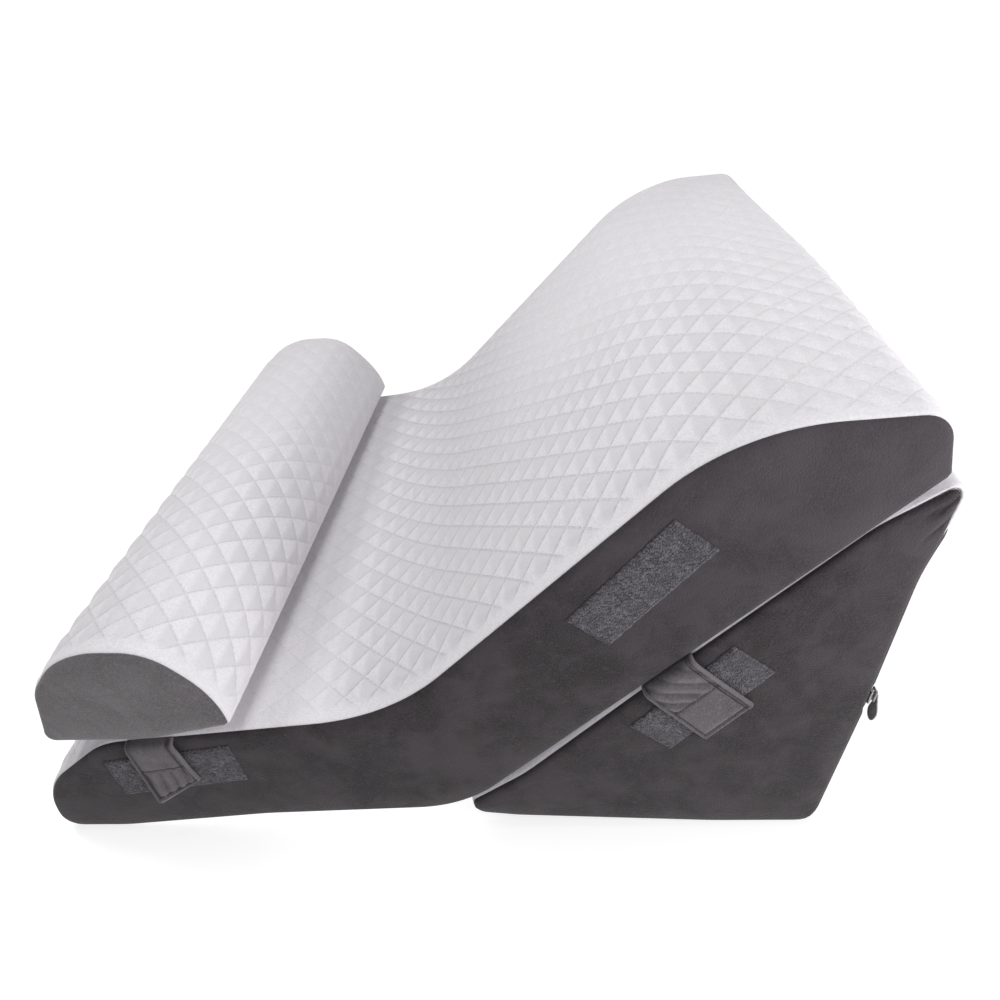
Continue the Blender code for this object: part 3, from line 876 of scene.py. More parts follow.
class ClothTest:
    """Blows a plain copy of a cushion up like a pillow case, with its side seams held."""

    VOXEL = 0.008
    PRESSURE = 4.0
    FRAMES = 20
    QUALITY = 4
    MASS = 0.3
    PATTERN_STEP = 10.0
    HELD = 9.0  # distance from a seam within which the cover doesn't move, mm

    def __init__(self, outline: Outline, half_width: float) -> None:
        """Takes the cushion's outline and half its width."""
        self.outline = outline
        self.half_width = half_width

    def plain_body(self) -> bpy.types.Object:
        """The cushion's shape as a closed prism."""
        upper = round(self.outline.length / self.PATTERN_STEP)
        lower = round(self.outline.base_length / self.PATTERN_STEP)
        ring = self.outline.ring(upper, lower)
        count = len(ring)
        points = [(x, y, z) for y in (-self.half_width, self.half_width) for x, z in ring]
        faces = [(k, (k + 1) % count, (k + 1) % count + count, k + count) for k in range(count)]
        faces += [tuple(range(count)), tuple(range(2 * count - 1, count - 1, -1))]
        body = mesh_piece("swelling_cover", np.array(points), faces, KNIT)
        clean(body)
        return body

    def run(self) -> Swell:
        """Runs the simulation.

        Returns:
            The moves of the cover's points.
        """
        body = self.plain_body()
        remesh = body.modifiers.new("even", "REMESH")
        remesh.mode = "VOXEL"
        remesh.voxel_size = self.VOXEL
        graph = bpy.context.evaluated_depsgraph_get()
        even = bpy.data.meshes.new_from_object(body.evaluated_get(graph))
        body.modifiers.clear()
        body.data = even
        start = np.empty(len(even.vertices) * 3)
        even.vertices.foreach_get("co", start)
        start = start.reshape(-1, 3)
        flat = start[:, [0, 2]] / MM + (MIDDLE, 0.0)
        inside = distance_inside(self.outline.ring(200, 200), flat)
        seam = np.hypot(inside, self.half_width - abs(start[:, 1]) / MM)
        group = body.vertex_groups.new(name="seams")
        group.add(np.flatnonzero(seam < self.HELD).tolist(), 1.0, "REPLACE")
        cloth = body.modifiers.new("cover", "CLOTH")
        settings = cloth.settings
        settings.quality = self.QUALITY
        settings.mass = self.MASS
        settings.use_pressure = True
        settings.uniform_pressure_force = self.PRESSURE
        settings.effector_weights.gravity = 0.0
        settings.vertex_group_mass = "seams"
        cloth.point_cache.frame_start = 1
        cloth.point_cache.frame_end = self.FRAMES
        scene = bpy.context.scene
        for number in range(1, self.FRAMES + 1):
            scene.frame_set(number)
        graph = bpy.context.evaluated_depsgraph_get()
        blown = body.evaluated_get(graph).to_mesh()
        end = np.empty(len(blown.vertices) * 3)
        blown.vertices.foreach_get("co", end)
        moves = end.reshape(-1, 3) - start
        scene.frame_set(1)
        bpy.data.objects.remove(body, do_unlink=True)
        tree = KDTree(len(start))
        for k, point in enumerate(start):
            tree.insert(point, k)
        tree.balance()
        LOG.info("simulated cover: %d points, moved up to %.1f mm", len(start), 1000 * abs(moves).max())
        return Swell(tree, moves)


@dataclass(frozen=True)
class Crease:
    """A pinched line in a side panel: its ends, its depth and its half width, mm."""

    start: tuple[float, float]
    end: tuple[float, float]
    depth: float
    width: float

    def at(self, points: np.ndarray) -> np.ndarray:
        """How deep the crease is at each point."""
        start = np.array(self.start)
        span = np.array(self.end) - start
        share = np.clip((points - start) @ span / (span @ span), 0.0, 1.0)
        gap = np.linalg.norm(points - start - share[:, None] * span, axis=1)
        return self.depth * hump(gap, self.width) * (1.0 - 0.6 * share)


class SideFace:
    """The outer face of a cushion's side panel: how far it stands out over the pattern's plane."""

    ROUND = 5.0
    RISE = 26.0
    SUNK = 0.6  # how far the seam lies inside the pattern's plane, mm
    UNEVEN = 0.35

    def __init__(self, outline: Outline, creases: tuple[Crease, ...], seed: int) -> None:
        """Takes the outline, the creases and a seed for the panel's unevenness."""
        self.edge = outline.seam_ring()
        self.creases = creases
        self.ripples = Ripples(seed, 14, 35.0, 160.0)

    def out(self, points: np.ndarray) -> np.ndarray:
        """Distance out from the side of the cushion, mm, at points of the pattern."""
        gap = distance_inside(self.edge, points)
        lip = quarter_round(gap, self.ROUND)
        bulge = 1.0 - (1.0 - np.clip(gap / self.RISE, 0.0, 1.0)) ** 2
        out = -self.SUNK + (GAP + VELOUR + self.SUNK) * lip + SIDE_BULGE * bulge
        out += self.UNEVEN * smooth_step(gap / 30.0) * (self.ripples.at(points) - 0.6)
        for crease in self.creases:
            out -= crease.at(points)
        return out


@dataclass
class Cushion:
    """A filled cushion: a quilted cover with a side panel sewn in at each end.

    The tables crown, puff and calm give a value at distances along the top run, mm: the cover's fullness,
    the height of its diamonds, and how much of the quilting fades towards the far side. Its far end is
    moved by droop, x and z in mm, beyond the place droop_from.
    """

    FULL_PUFF = 2.4  # diamonds of this height have their stitched lines drawn in full
    CALM_HALF = 130.0  # the calm sets in over this distance on each side of the middle
    TEST_STEP = 5  # the simulation is read at every so many points

    name: str
    top: Rows
    base: Rows
    half_width: float
    crown: Table
    puff: Table
    panel_finish: Finish
    fill: float
    seed: int
    creases: tuple[Crease, ...] = ()
    place: Matrix | None = None
    tuck: float = 0.0
    calm: Table = ((0, 0.0),)
    droop: tuple[float, float] = (0.0, 0.0)
    droop_from: tuple[float, float] = (600.0, 370.0)
    seam_fade: float = 13.0
    end_fade: float = 28.0
    groove: float = 1.4

    def __post_init__(self) -> None:
        """Works out the outline and the side's face."""
        self.outline = Outline(self.top, self.base, self.tuck)
        self.face = SideFace(self.outline, self.creases, self.seed)

    def swell(self, upper: np.ndarray, normals: np.ndarray, across: np.ndarray) -> np.ndarray:
        """How full the cover is over its seams, from 0 to 1, on the grid of the top run.

        Args:
            upper: points of the top run.
            normals: its outward normals.
            across: places across the width.

        Returns:
            A grid with a row for each point of the run.
        """
        test = ClothTest(self.outline, self.half_width).run()
        rows, columns = (
            np.unique(np.append(np.arange(0, len(run), self.TEST_STEP), len(run) - 1))
            for run in (upper, across)
        )
        places = [
            ((upper[i, 0] - MIDDLE) * MM, across[j] * MM, upper[i, 1] * MM)
            for i in rows
            for j in columns
        ]
        moves = test.at(np.array(places)).reshape(len(rows), len(columns), 3)
        lift = moves[:, :, 0] * normals[rows, None, 0] + moves[:, :, 2] * normals[rows, None, 1]
        lift = np.maximum(lift, 0.0)
        reference = max(float(np.percentile(lift, 40)), 1e-6)
        fullness = 1.0 - np.exp(-2.0 * lift / reference)
        fine = np.stack([np.interp(np.arange(len(across)), columns, row) for row in fullness])
        every = np.arange(len(upper))
        return np.stack([np.interp(every, rows, column) for column in fine.T], axis=1)

    def build(self) -> None:
        """Builds the cover and both side panels."""
        show(self.cover(), KNIT, self.name)
        for suffix, sign in (("near", -1), ("far", 1)):
            self.panel(suffix, sign)

    def cover(self) -> bpy.types.Object:
        """The quilted cover: fine over its top run, coarser below."""
        outline = self.outline
        flat_half = self.half_width - SEAM_WRAP[0][0]
        upper_count = outline.cells * FINE_STEPS + 1
        ring = outline.ring(upper_count, round(outline.base_length / BASE_STEP))
        normals = ring_normals(ring)
        half_cells = round(flat_half / outline.step)
        lattice = np.arange(-half_cells * FINE_STEPS, half_cells * FINE_STEPS + 1)
        v = lattice / FINE_STEPS
        inner = v * flat_half / half_cells
        u = np.arange(upper_count) / FINE_STEPS
        run = u * outline.step
        ends = smooth_step(run / self.end_fade) * smooth_step((run[-1] - run) / self.end_fade)
        crown = np.interp(run, *zip(*self.crown))
        puff = np.interp(run, *zip(*self.puff))
        quilted = smooth_step((flat_half - abs(inner) - 1.0) / self.seam_fade)[None] * ends[:, None]
        calm = smooth_step((inner + self.CALM_HALF) / (2 * self.CALM_HALF))[None]
        calm = np.interp(run, *zip(*self.calm))[:, None] * calm
        quilted = quilted * (1.0 - calm)
        drawn = quilted * np.clip(puff / self.FULL_PUFF, 0.0, 1.0)[:, None]
        full = self.swell(ring[:upper_count], normals[:upper_count], inner)
        facet = diamond(u[:, None], v[None])
        pillow = 1.0 - (1.0 - facet) ** self.groove
        height = np.zeros((len(ring), len(v)))
        height[:upper_count] = ends[:, None] * crown[:, None] * full
        height[:upper_count] += quilted * puff[:, None] * pillow
        wrap = [(self.half_width - depth, inset) for depth, inset in SEAM_WRAP[1:]]
        columns = [(-y, inset) for y, inset in reversed(wrap)]
        first = len(columns)
        columns += [(y, 0.0) for y in inner] + list(wrap)
        count, width = len(ring), len(columns)
        grid = np.zeros((count, width, 3))
        map_uv = np.zeros((count, width, 2))
        fade = np.zeros((count, width))
        for j, (y, inset) in enumerate(columns):
            k = min(max(j - first, 0), len(v) - 1)
            lift = height[:, k] if 0 <= j - first < len(v) else -np.full(count, inset)
            grid[:, j, 0] = ring[:, 0] + normals[:, 0] * lift
            grid[:, j, 1] = y
            grid[:, j, 2] = ring[:, 1] + normals[:, 1] * lift
            map_uv[:upper_count, j] = np.stack((u, np.full(upper_count, v[k])), axis=-1)
            if 0 <= j - first < len(v):
                fade[:upper_count, j] = drawn[:, k]
        self.sag(grid)
        faces = self.cover_faces(count, width, upper_count, first, lattice)
        cover = mesh_piece(f"{self.name}_cover", grid.reshape(-1, 3), faces, KNIT, self.place)
        mesh = cover.data
        layer = mesh.uv_layers.new(name="quilt")
        corners = np.empty(len(mesh.loops), np.int32)
        mesh.loops.foreach_get("vertex_index", corners)
        layer.data.foreach_set("uv", map_uv.reshape(-1, 2)[corners].astype(np.float32).ravel())
        shade = mesh.attributes.new("quilted", "FLOAT", "POINT")
        shade.data.foreach_set("value", fade.astype(np.float32).ravel())
        return cover

    def sag(self, points: np.ndarray) -> None:
        """Moves the far end by the droop, in place: the pad's upper corner, or the roll's whole end."""
        x, y, z = points[..., 0], points[..., 1], points[..., 2]
        share = smooth_step((y + 40.0) / 340.0) * smooth_step((x - self.droop_from[0]) / 130.0)
        share = share * smooth_step((z - self.droop_from[1]) / 60.0)
        points[..., 0] += self.droop[0] * share
        points[..., 2] += self.droop[1] * share

    def cover_faces(
        self, count: int, width: int, upper_count: int, first: int, lattice: np.ndarray
    ) -> list:
        """Faces of the cover, split along the stitched lines where it is quilted.

        Args:
            count: points round the ring.
            width: points across.
            upper_count: points on the top run.
            first: first column of the quilt's lattice.
            lattice: number of each lattice column.

        Returns:
            Vertex numbers of each face.
        """
        faces = []
        last = first + len(lattice) - 1
        for i in range(count):
            here, there = i * width, (i + 1) % count * width
            for j in range(width - 1):
                a, b, c, d = here + j, here + j + 1, there + j + 1, there + j
                if i < upper_count - 1 and first <= j < last:
                    cell = i // FINE_STEPS + lattice[j - first] // FINE_STEPS
                    faces += [(a, c, b), (a, d, c)] if cell % 2 == 0 else [(a, d, b), (b, d, c)]
                else:
                    faces.append((a, d, c, b))
        faces.append(tuple(i * width for i in range(count)))
        faces.append(tuple(i * width + width - 1 for i in range(count - 1, -1, -1)))
        return faces

    def panel(self, suffix: str, sign: int) -> None:
        """One side panel, sewn in along the cover's edge."""
        edge = self.face.edge
        count = (len(edge) + 2) // 2
        near_edge = np.array(PANEL_INSETS)
        rows = []
        for k in range(count):
            upper, lower = edge[k], edge[-k % len(edge)]
            length = max(float(np.linalg.norm(lower - upper)), 1e-6)
            shares = near_edge / length * min(1.0, 0.4 * length / near_edge[-1])
            middle = np.linspace(shares[-1], 1.0 - shares[-1], 12)[1:-1]
            levels = np.concatenate((shares, middle, 1.0 - shares[::-1]))
            rows.append(upper + (lower - upper) * levels[:, None])
        flat = np.array(rows)
        out = self.face.out(flat.reshape(-1, 2)).reshape(flat.shape[:2])
        gap = distance_inside(edge, flat.reshape(-1, 2)).reshape(flat.shape[:2])
        thick = 0.8 + 1.3 * np.clip(gap / 5.0, 0.0, 1.0)
        grids = [on_side(flat, level, sign, self.half_width) for level in (out - thick, out)]
        for grid in grids:
            self.sag(grid)
        # Painted shade: darker along the sewn edge and along the creases.
        painted_light_and_shade = -0.35 * hump(gap, 1.6)
        for crease in self.creases:
            painted_light_and_shade -= crease.at(flat.reshape(-1, 2)).reshape(gap.shape) / 1.4
        node = f"{self.name}_panel_{suffix}"
        piece = sheet_piece(f"{node}_cloth", *grids, self.panel_finish, self.place, painted_light_and_shade=painted_light_and_shade)
        show(piece, self.panel_finish, node)


@dataclass
class WedgeBack:
    """The velour on the wedge's base and back, with the zip between its two pieces."""

    outline: Outline
    stitches: BeadLine
    teeth: BeadLine

    def height_to_distance(self, height: float) -> float:
        """How far along the wedge's base run its back reaches a height."""
        path = self.outline.base
        along = distances(path)
        back = path[:, 0] > 0.5 * (path[0, 0] + path[-1, 0])
        back &= np.concatenate(([False], np.diff(path[:, 1]) > 0))
        return float(np.interp(height, path[back, 1], along[back]))

    def strip(self, start: float, end: float, thick: float, columns: int) -> tuple[np.ndarray, np.ndarray]:
        """Inner and outer grids of a strip of cloth laid round the base run between two distances.

        Args:
            start: first distance along the base run.
            end: last distance.
            thick: the cloth's thickness.
            columns: points across the middle of its width.

        Returns:
            Inner and outer grids of points.
        """
        path = self.outline.base
        where = np.linspace(start, end, max(6, round((end - start) / 7.0)))
        line = points_at(path, where)
        ahead = np.gradient(line, axis=0)
        normals = np.stack((ahead[:, 1], -ahead[:, 0]), axis=-1)
        normals /= np.linalg.norm(normals, axis=1, keepdims=True)
        flat_half = SIDE - SEAM_WRAP[0][0]
        wrap = [(SIDE - depth, inset) for depth, inset in SEAM_WRAP[1:5]]
        across = [(-y, inset) for y, inset in reversed(wrap)]
        across += [(y, 0.0) for y in np.linspace(-flat_half, flat_half, columns)]
        across += wrap
        inner = np.zeros((len(line), len(across), 3))
        outer = np.zeros_like(inner)
        ripples = Ripples(31, 10, 40.0, 170.0)
        ends = np.minimum(where - start, end - where)
        for j, (y, inset) in enumerate(across):
            cling = 1.0 - 0.75 * inset / SEAM_INSET
            lip = 0.35 + 0.65 * quarter_round(ends, 4.0)
            spots = np.stack((where, np.full(len(where), y)), axis=-1)
            wave = 0.3 * (ripples.at(spots) - 1.0) * (inset == 0.0)
            wave = wave * smooth_step(ends / 20.0) * (line[:, 1] > 20.0)
            for grid, level in ((inner, 0.05), (outer, 0.05 + (GAP + thick) * cling * lip + wave)):
                offset = level - inset
                grid[:, j, 0] = line[:, 0] + normals[:, 0] * offset
                grid[:, j, 1] = y
                grid[:, j, 2] = line[:, 1] + normals[:, 1] * offset
        return inner, outer

    def build(self) -> None:
        """Builds both panels, the zip's tape and teeth, the slider and the puller."""
        path = self.outline.base
        front = float(np.interp(BASE_PANEL_FRONT, path[:, 0], distances(path)))
        low = self.height_to_distance(ZIP_HEIGHT - ZIP_TAPE_HALF)
        high = self.height_to_distance(ZIP_HEIGHT + ZIP_TAPE_HALF)
        top = self.height_to_distance(BACK_PANEL_TOP)
        for node, start, end in (
            ("base_wedge_base_panel", front, low - GAP),
            ("base_wedge_back_panel", high + GAP, top),
        ):
            grids = self.strip(start, end, VELOUR, 60)
            piece = sheet_piece(f"{node}_cloth", *grids, CHARCOAL, sharp=60.0)
            show(piece, CHARCOAL, node)
        self.zip(low, high)

    def zip(self, low: float, high: float) -> None:
        """The zip's tape with its teeth, slider and puller."""
        grids = self.strip(low, high, ZIP_TAPE_THICK, 30)
        tape = sheet_piece("zip_tape_cloth", *grids, ZIP_CLOTH, sharp=60.0)
        show(tape, ZIP_CLOTH, "zip_tape")
        middle = self.height_to_distance(ZIP_HEIGHT)
        below, face, above = points_at(self.outline.base, np.array((middle - 10.0, middle, middle + 10.0)))
        lean = math.atan2(above[0] - below[0], above[1] - below[1])
        ahead = np.array((math.cos(lean), -math.sin(lean)))
        lines = []
        for step, phase in ((-0.9, 0.0), (0.9, 1.0)):
            spot = face + ahead * (GAP + ZIP_TAPE_THICK + 0.4) + np.array((0.0, step))
            lines.append(np.array([(spot[0], y + phase, spot[1]) for y in (-286.0, 292.0)]))
        teeth = self.teeth.along("zip_teeth", lines, ZIP_TEETH, 2.0, (1.1, 1.2, 2.6), 5)
        show(teeth, ZIP_TEETH)
        seams = []
        for distance, side in ((low, -1.0), (high, 1.0)):
            spot = points_at(self.outline.base, np.array((distance + side * 3.0,)))[0]
            spot = spot + ahead * (GAP + VELOUR + 0.1)
            seams.append(np.array([(spot[0], y, spot[1]) for y in (-288.0, 288.0)]))
        seam = self.stitches.along("zip_seam_stitches", seams, TAB_THREAD, 4.2, (0.7, 0.5, 3.0), 11)
        show(seam, TAB_THREAD)
        self.slider(face, ahead, lean)

    def slider(self, face: np.ndarray, ahead: np.ndarray, lean: float) -> None:
        """The slider and its hanging puller.

        Args:
            face: point of the back in the zip's middle.
            ahead: direction out of the back; not used.
            lean: the back's lean from upright.
        """
        work = bmesh.new()
        turn = Matrix.Rotation(lean, 4, "Y")
        shift = 2 * GAP + ZIP_TAPE_THICK
        for out, up, size, bevel in (  # wing, post, wing, two lugs and the puller's bar, mm
            (1.1, 0.0, (2.0, 9.0, 13.6), 0.8),
            (3.3, 0.0, (2.6, 3.4, 12.0), 0.8),
            (5.3, 0.6, (1.8, 8.0, 11.5), 0.8),
            (7.0, 2.6, (1.8, 3.0, 3.0), 0.7),
            (7.0, -2.6, (1.8, 3.0, 3.0), 0.7),
            (7.6, 0.0, (0.9, 2.6, 7.0), 0.4),
        ):
            start = bmesh.ops.create_cube(work, size=1.0)["verts"]
            bmesh.ops.scale(work, vec=Vector(size) * MM, verts=start)
            edges = [edge for edge in work.edges if edge.verts[0] in start and edge.verts[1] in start]
            made = bmesh.ops.bevel(
                work, geom=edges, offset=bevel * MM, segments=3, profile=0.5, affect="EDGES"
            )
            verts = {vertex for item in made["faces"] for vertex in item.verts}
            verts |= {vertex for vertex in start if vertex.is_valid}
            bmesh.ops.translate(work, vec=Vector((out + shift, 0.0, up)) * MM, verts=list(verts))
        mesh = bpy.data.meshes.new("zip_slider_body")
        work.to_mesh(mesh)
        work.free()
        spot = Matrix.Translation(((face[0] - MIDDLE) * MM, SLIDER_Y * MM, face[1] * MM))
        mesh.transform(spot @ turn)
        mesh.shade_smooth()
        mesh.set_sharp_from_angle(angle=math.radians(40))
        mesh.materials.append(ZIP_METAL.material())
        show(linked("zip_slider_body", mesh), ZIP_METAL, "zip_slider")
        self.puller()

    def puller(self) -> None:
        """A teardrop plate with a raised rim and an eye."""
        low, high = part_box("zip_puller")
        middle = (low + high) / 2 / MM
        length = (high.z - low.z) / MM
        rings = []
        angles = np.linspace(0.0, 2 * math.pi, 40, endpoint=False)
        for inset, out in ((0.3, 0.0), (0.0, 0.3), (0.0, 0.9), (0.3, 1.2), (1.1, 1.2), (1.5, 0.85)):
            ring = []
            for angle in angles:
                down = (1.0 - math.cos(angle)) / 2
                half = (PULLER_NECK + (PULLER_TIP - PULLER_NECK) * smooth_step(down * 1.25)) - inset
                y = half * math.sin(angle) if down < 1 else 0.0
                z = length / 2 - inset - down * (length - 2 * inset)
                ring.append((out, y, z))
            rings.append(ring)
        points = np.array(rings)
        cosine, sine = math.cos(PULLER_TURN), math.sin(PULLER_TURN)
        points[..., :2] = points[..., :2] @ np.array(((cosine, sine), (-sine, cosine)))
        points += (low.x / MM + MIDDLE + PULLER_OUT, middle.y, middle.z)
        count = len(angles)
        faces = []
        for k in range(len(rings) - 1):
            for j in range(count):
                n = (j + 1) % count
                faces.append((k * count + j, k * count + n, (k + 1) * count + n, (k + 1) * count + j))
        faces.append(tuple(range(count - 1, -1, -1)))
        faces.append(tuple((len(rings) - 1) * count + j for j in range(count)))
        plate = mesh_piece("zip_puller_plate", points.reshape(-1, 3), faces, ZIP_METAL)
        clean(plate, 40.0)
        show(plate, ZIP_METAL, "zip_puller")


@dataclass
class LoopPatch:
    """A patch of loop tape on a side panel."""

    node: str
    x: float
    z: float
    angle: float
    width: float
    face: SideFace
    seed: int
    length: float = 119.0
    step: float = 2.0
    thick: float = 1.5
    seam_inset: float = 2.4

    def build(self, sign: int, suffix: str, stitches: BeadLine) -> None:
        """Lays the patch on its panel and sews it down.

        Args:
            sign: -1 for the near side and 1 for the far side.
            suffix: near or far.
            stitches: the tree that makes its stitches.
        """
        draw = np.random.default_rng(self.seed + (sign > 0))
        rows, columns = round(self.width / self.step) + 1, round(self.length / self.step) + 1
        across = np.linspace(-self.width / 2, self.width / 2, rows)
        along = np.linspace(-self.length / 2, self.length / 2, columns)
        plane = np.stack(np.meshgrid(across, along, indexing="ij"), axis=-1)
        rag = np.zeros(plane.shape)
        rag[[0, -1], :, 0] = draw.normal(0.0, 0.25, (2, columns))
        rag[:, [0, -1], 1] = draw.normal(0.0, 0.25, (rows, 2))
        plane = plane + rag
        edge = np.minimum(self.width / 2 - abs(plane[..., 0]), self.length / 2 - abs(plane[..., 1]))
        lip = 0.45 + 0.55 * smooth_step(edge / 2.2)
        pile = draw.normal(0.0, 0.16, plane.shape[:2])
        flat = self.place(plane)
        out = self.face.out(flat.reshape(-1, 2)).reshape(rows, columns)
        outer = out + self.thick * lip + pile * smooth_step(edge / 2.0)
        outer -= 0.35 * hump(edge - self.seam_inset, 0.9)
        grids = [on_side(flat, level, sign) for level in (out - 0.2, outer)]
        node = f"{self.node}_{suffix}"
        piece = sheet_piece(f"{node}_pile", *grids, LOOPS)
        show(piece, LOOPS, node)
        half = np.array((self.width / 2 - self.seam_inset, self.length / 2 - self.seam_inset))
        corners = np.array([(-1, -1), (1, -1), (1, 1), (-1, 1)]) * half
        loop = np.concatenate((corners, corners[:1]))
        line = points_at(loop, np.linspace(0.0, float(distances(loop)[-1]), 120))
        spots = self.place(line)
        level = self.face.out(spots) + self.thick * 0.88
        path = on_side(spots, level, sign)
        seam = stitches.along(f"{node}_stitches", [path], TAPE_THREAD, 3.4, (0.55, 0.45, 2.4), self.seed)
        show(seam, TAPE_THREAD)

    def place(self, plane: np.ndarray) -> np.ndarray:
        """Points of the pattern for places across and along the patch."""
        cosine, sine = math.cos(math.radians(self.angle)), math.sin(math.radians(self.angle))
        across, along = plane[..., 0], plane[..., 1]
        x = self.x + along * cosine - across * sine
        z = self.z + along * sine + across * cosine
        return np.stack((x, z), axis=-1)


def flowing(rows: np.ndarray, steps: int) -> np.ndarray:
    """A smooth run of rows through the given ones, by Catmull-Rom.

    Args:
        rows: the given rows.
        steps: rows made for each given one.

    Returns:
        The new rows.
    """
    padded = np.concatenate(([2 * rows[0] - rows[1]], rows, [2 * rows[-1] - rows[-2]]))
    out = []
    for k in range(1, len(rows)):
        a, b, c, d = padded[k - 1 : k + 3]
        for step in range(steps):
            t = step / steps
            square, cube = 2 * a - 5 * b + 4 * c - d, 3 * b - a - 3 * c + d
            out.append(0.5 * (2 * b + (c - a) * t + square * t * t + cube * t**3))
    out.append(rows[-1])
    return np.array(out)


@dataclass
class StrapTab:
    """A double tab sewn in between two cushions, which folds down over the loop tape."""

    node: str
    far_shift: tuple[float, float]
    rows: tuple[tuple[float, ...], ...]
    cross_seam: float
    right_fold: float
    left_fold: float
    folds: float
    fold_slant: float
    fold_above: float
    fold_below: float
    seed: int
    corner: float = 4.0
    box_inset: float = 4.4
    edge_round: float = 1.8

    def surface(self, sign: int, shift: tuple[float, float]) -> tuple[np.ndarray, np.ndarray, np.ndarray]:
        """The tab's middle surface.

        Args:
            sign: -1 for the near side and 1 for the far side.
            shift: how far it is moved in x and z.

        Returns:
            Points, distance from the left edge and distance from the far end, each on one grid.
        """
        smooth = flowing(np.array(self.rows, float), 10)
        left = smooth[:, [0, 2, 1]]
        right = smooth[:, [3, 5, 4]]
        along = distances((left + right) / 2)
        where = np.linspace(0.0, along[-1], round(along[-1] / 1.2))
        left, right = (
            np.stack([np.interp(where, along, run[:, k]) for k in range(3)], axis=-1) for run in (left, right)
        )
        width = np.linalg.norm(right - left, axis=1)
        ends = where[-1] - where
        short = np.maximum(self.corner - ends, 0.0)
        trim = self.corner - np.sqrt(np.maximum(self.corner**2 - short**2, 0.0))
        columns = round(float(width.mean()) / 1.3)
        share = np.linspace(0.0, 1.0, columns)[None] * (1.0 - 2 * trim / width)[:, None]
        share = share + (trim / width)[:, None]
        points = left[:, None] + (right - left)[:, None] * share[..., None]
        points[..., 1] = sign * (SIDE + points[..., 1])
        points[..., 0] += shift[0]
        points[..., 2] += shift[1]
        return points, share * width[:, None], np.broadcast_to(ends[:, None], share.shape)

    def relief(self, left: np.ndarray, right: np.ndarray, end: np.ndarray) -> tuple[np.ndarray, np.ndarray]:
        """Height of the tab's outer face: its rolled rim, sewn box and folds.

        Args:
            left: distance from the left edge.
            right: distance from the right edge.
            end: distance from the far end.

        Returns:
            Height over the tab's plain face, mm, and the painted light and shade of each place: painted
            highlight on the rolled rim and the fold crests, painted shade in the seams, fold lines and fold
            troughs.
        """
        rim = np.minimum(np.minimum(left, right), end)
        length = float(end.max())
        cross = end - length * (1.0 - self.cross_seam)
        inside = smooth_step((rim - self.box_inset + 1.0) / 1.0)
        root = smooth_step((length - end) / 9.0)
        seam = hump(rim - self.box_inset, 0.7)
        right_line = hump(right - 6.8, 0.7) * (self.right_fold > 0)
        left_line = hump(left - 2.6, 0.6) * (self.left_fold > 0)
        height = 1.0 * hump(rim - 1.9, 1.1) - 0.8 * seam + 0.9 * smooth_step((rim - self.box_inset) / 5.0)
        height += self.right_fold * smooth_step((6.4 - right) / 1.2) - 0.9 * right_line
        height += self.left_fold * smooth_step((2.2 - left) / 1.0) - 0.7 * left_line
        height -= 0.9 * hump(cross, 0.9) * inside
        slant = left * math.cos(self.fold_slant) + end * math.sin(self.fold_slant)
        waver = 0.5 * np.sin(left / 9.0 + end / 14.0)
        fold = 0.5 + 0.5 * np.sin(slant * 2 * math.pi / self.folds + 0.8 + waver)
        above = self.fold_above * smooth_step((cross + 2.0) / 8.0)
        above = above * smooth_step(np.minimum(left, right) / 7.0) * root
        below = smooth_step((-cross + 2.0) / 8.0) * inside
        folded = above + self.fold_below * below
        height += 1.7 * (fold - 0.5) * folded
        soft = Ripples(self.seed, 9, 9.0, 40.0).at(np.stack((left, end), axis=-1))
        height += 0.35 * soft * inside
        # Painted shade in the sewn box's seam, the cross seam, the fold lines and the troughs of the folds.
        dark = seam + 0.95 * hump(cross, 0.8) * inside + 0.9 * right_line + 0.8 * left_line
        dark += 0.45 * folded * smooth_step((0.4 - fold) / 0.4)
        # Painted highlight on the rolled rim and on the crests of the folds.
        light = 0.8 * hump(rim - 0.8, 1.1) + 0.45 * folded * smooth_step((fold - 0.6) / 0.4)
        return height * root, np.clip(light, 0.0, 1.0) - np.clip(dark, 0.0, 1.0)

    def build(self, sign: int, suffix: str, stitches: BeadLine) -> None:
        """Builds the tab and the stitches of its box.

        Args:
            sign: -1 for the near side and 1 for the far side.
            suffix: near or far.
            stitches: the tree that makes its stitches.
        """
        shift = self.far_shift if sign > 0 else (0.0, 0.0)
        points, left, end = self.surface(sign, shift)
        right = left[:, -1:] + left[:, :1] - left
        edge = np.minimum(np.minimum(left - left[:, :1], left[:, -1:] - left), end)
        half = 0.15 + 0.85 * quarter_round(edge, self.edge_round)
        normals = grid_normals(points)
        if (normals[..., 1] * sign).mean() < 0:
            normals = -normals
        height, painted_light_and_shade = self.relief(left, right, end)
        lift = np.maximum(half + height * np.clip(edge / self.edge_round, 0.0, 1.0), 0.1)[..., None]
        outer = points + normals * lift
        inner = points - normals * half[..., None]
        node = f"{self.node}_{suffix}"
        piece = sheet_piece(f"{node}_cloth", inner, outer, TAB_CLOTH, painted_light_and_shade=painted_light_and_shade)
        show(piece, TAB_CLOTH, node)
        rows, columns = points.shape[:2]
        seams = (self.box_inset, float(end.max()) * (1.0 - self.cross_seam))
        low, cross = (int(np.argmin(abs(end[:, 0] - distance))) for distance in seams)
        across = int(round(self.box_inset / (left[rows // 2, -1] / (columns - 1))))
        spots = outer + normals * 0.12
        box = [spots[cross : low + 1, across], spots[low, across : columns - across]]
        box += [spots[cross : low + 1, columns - 1 - across], spots[cross, across : columns - across]]
        threads = stitches.along(f"{node}_stitches", box, TAB_THREAD, 3.0, (0.6, 0.5, 2.1), self.seed)
        show(threads, TAB_THREAD)


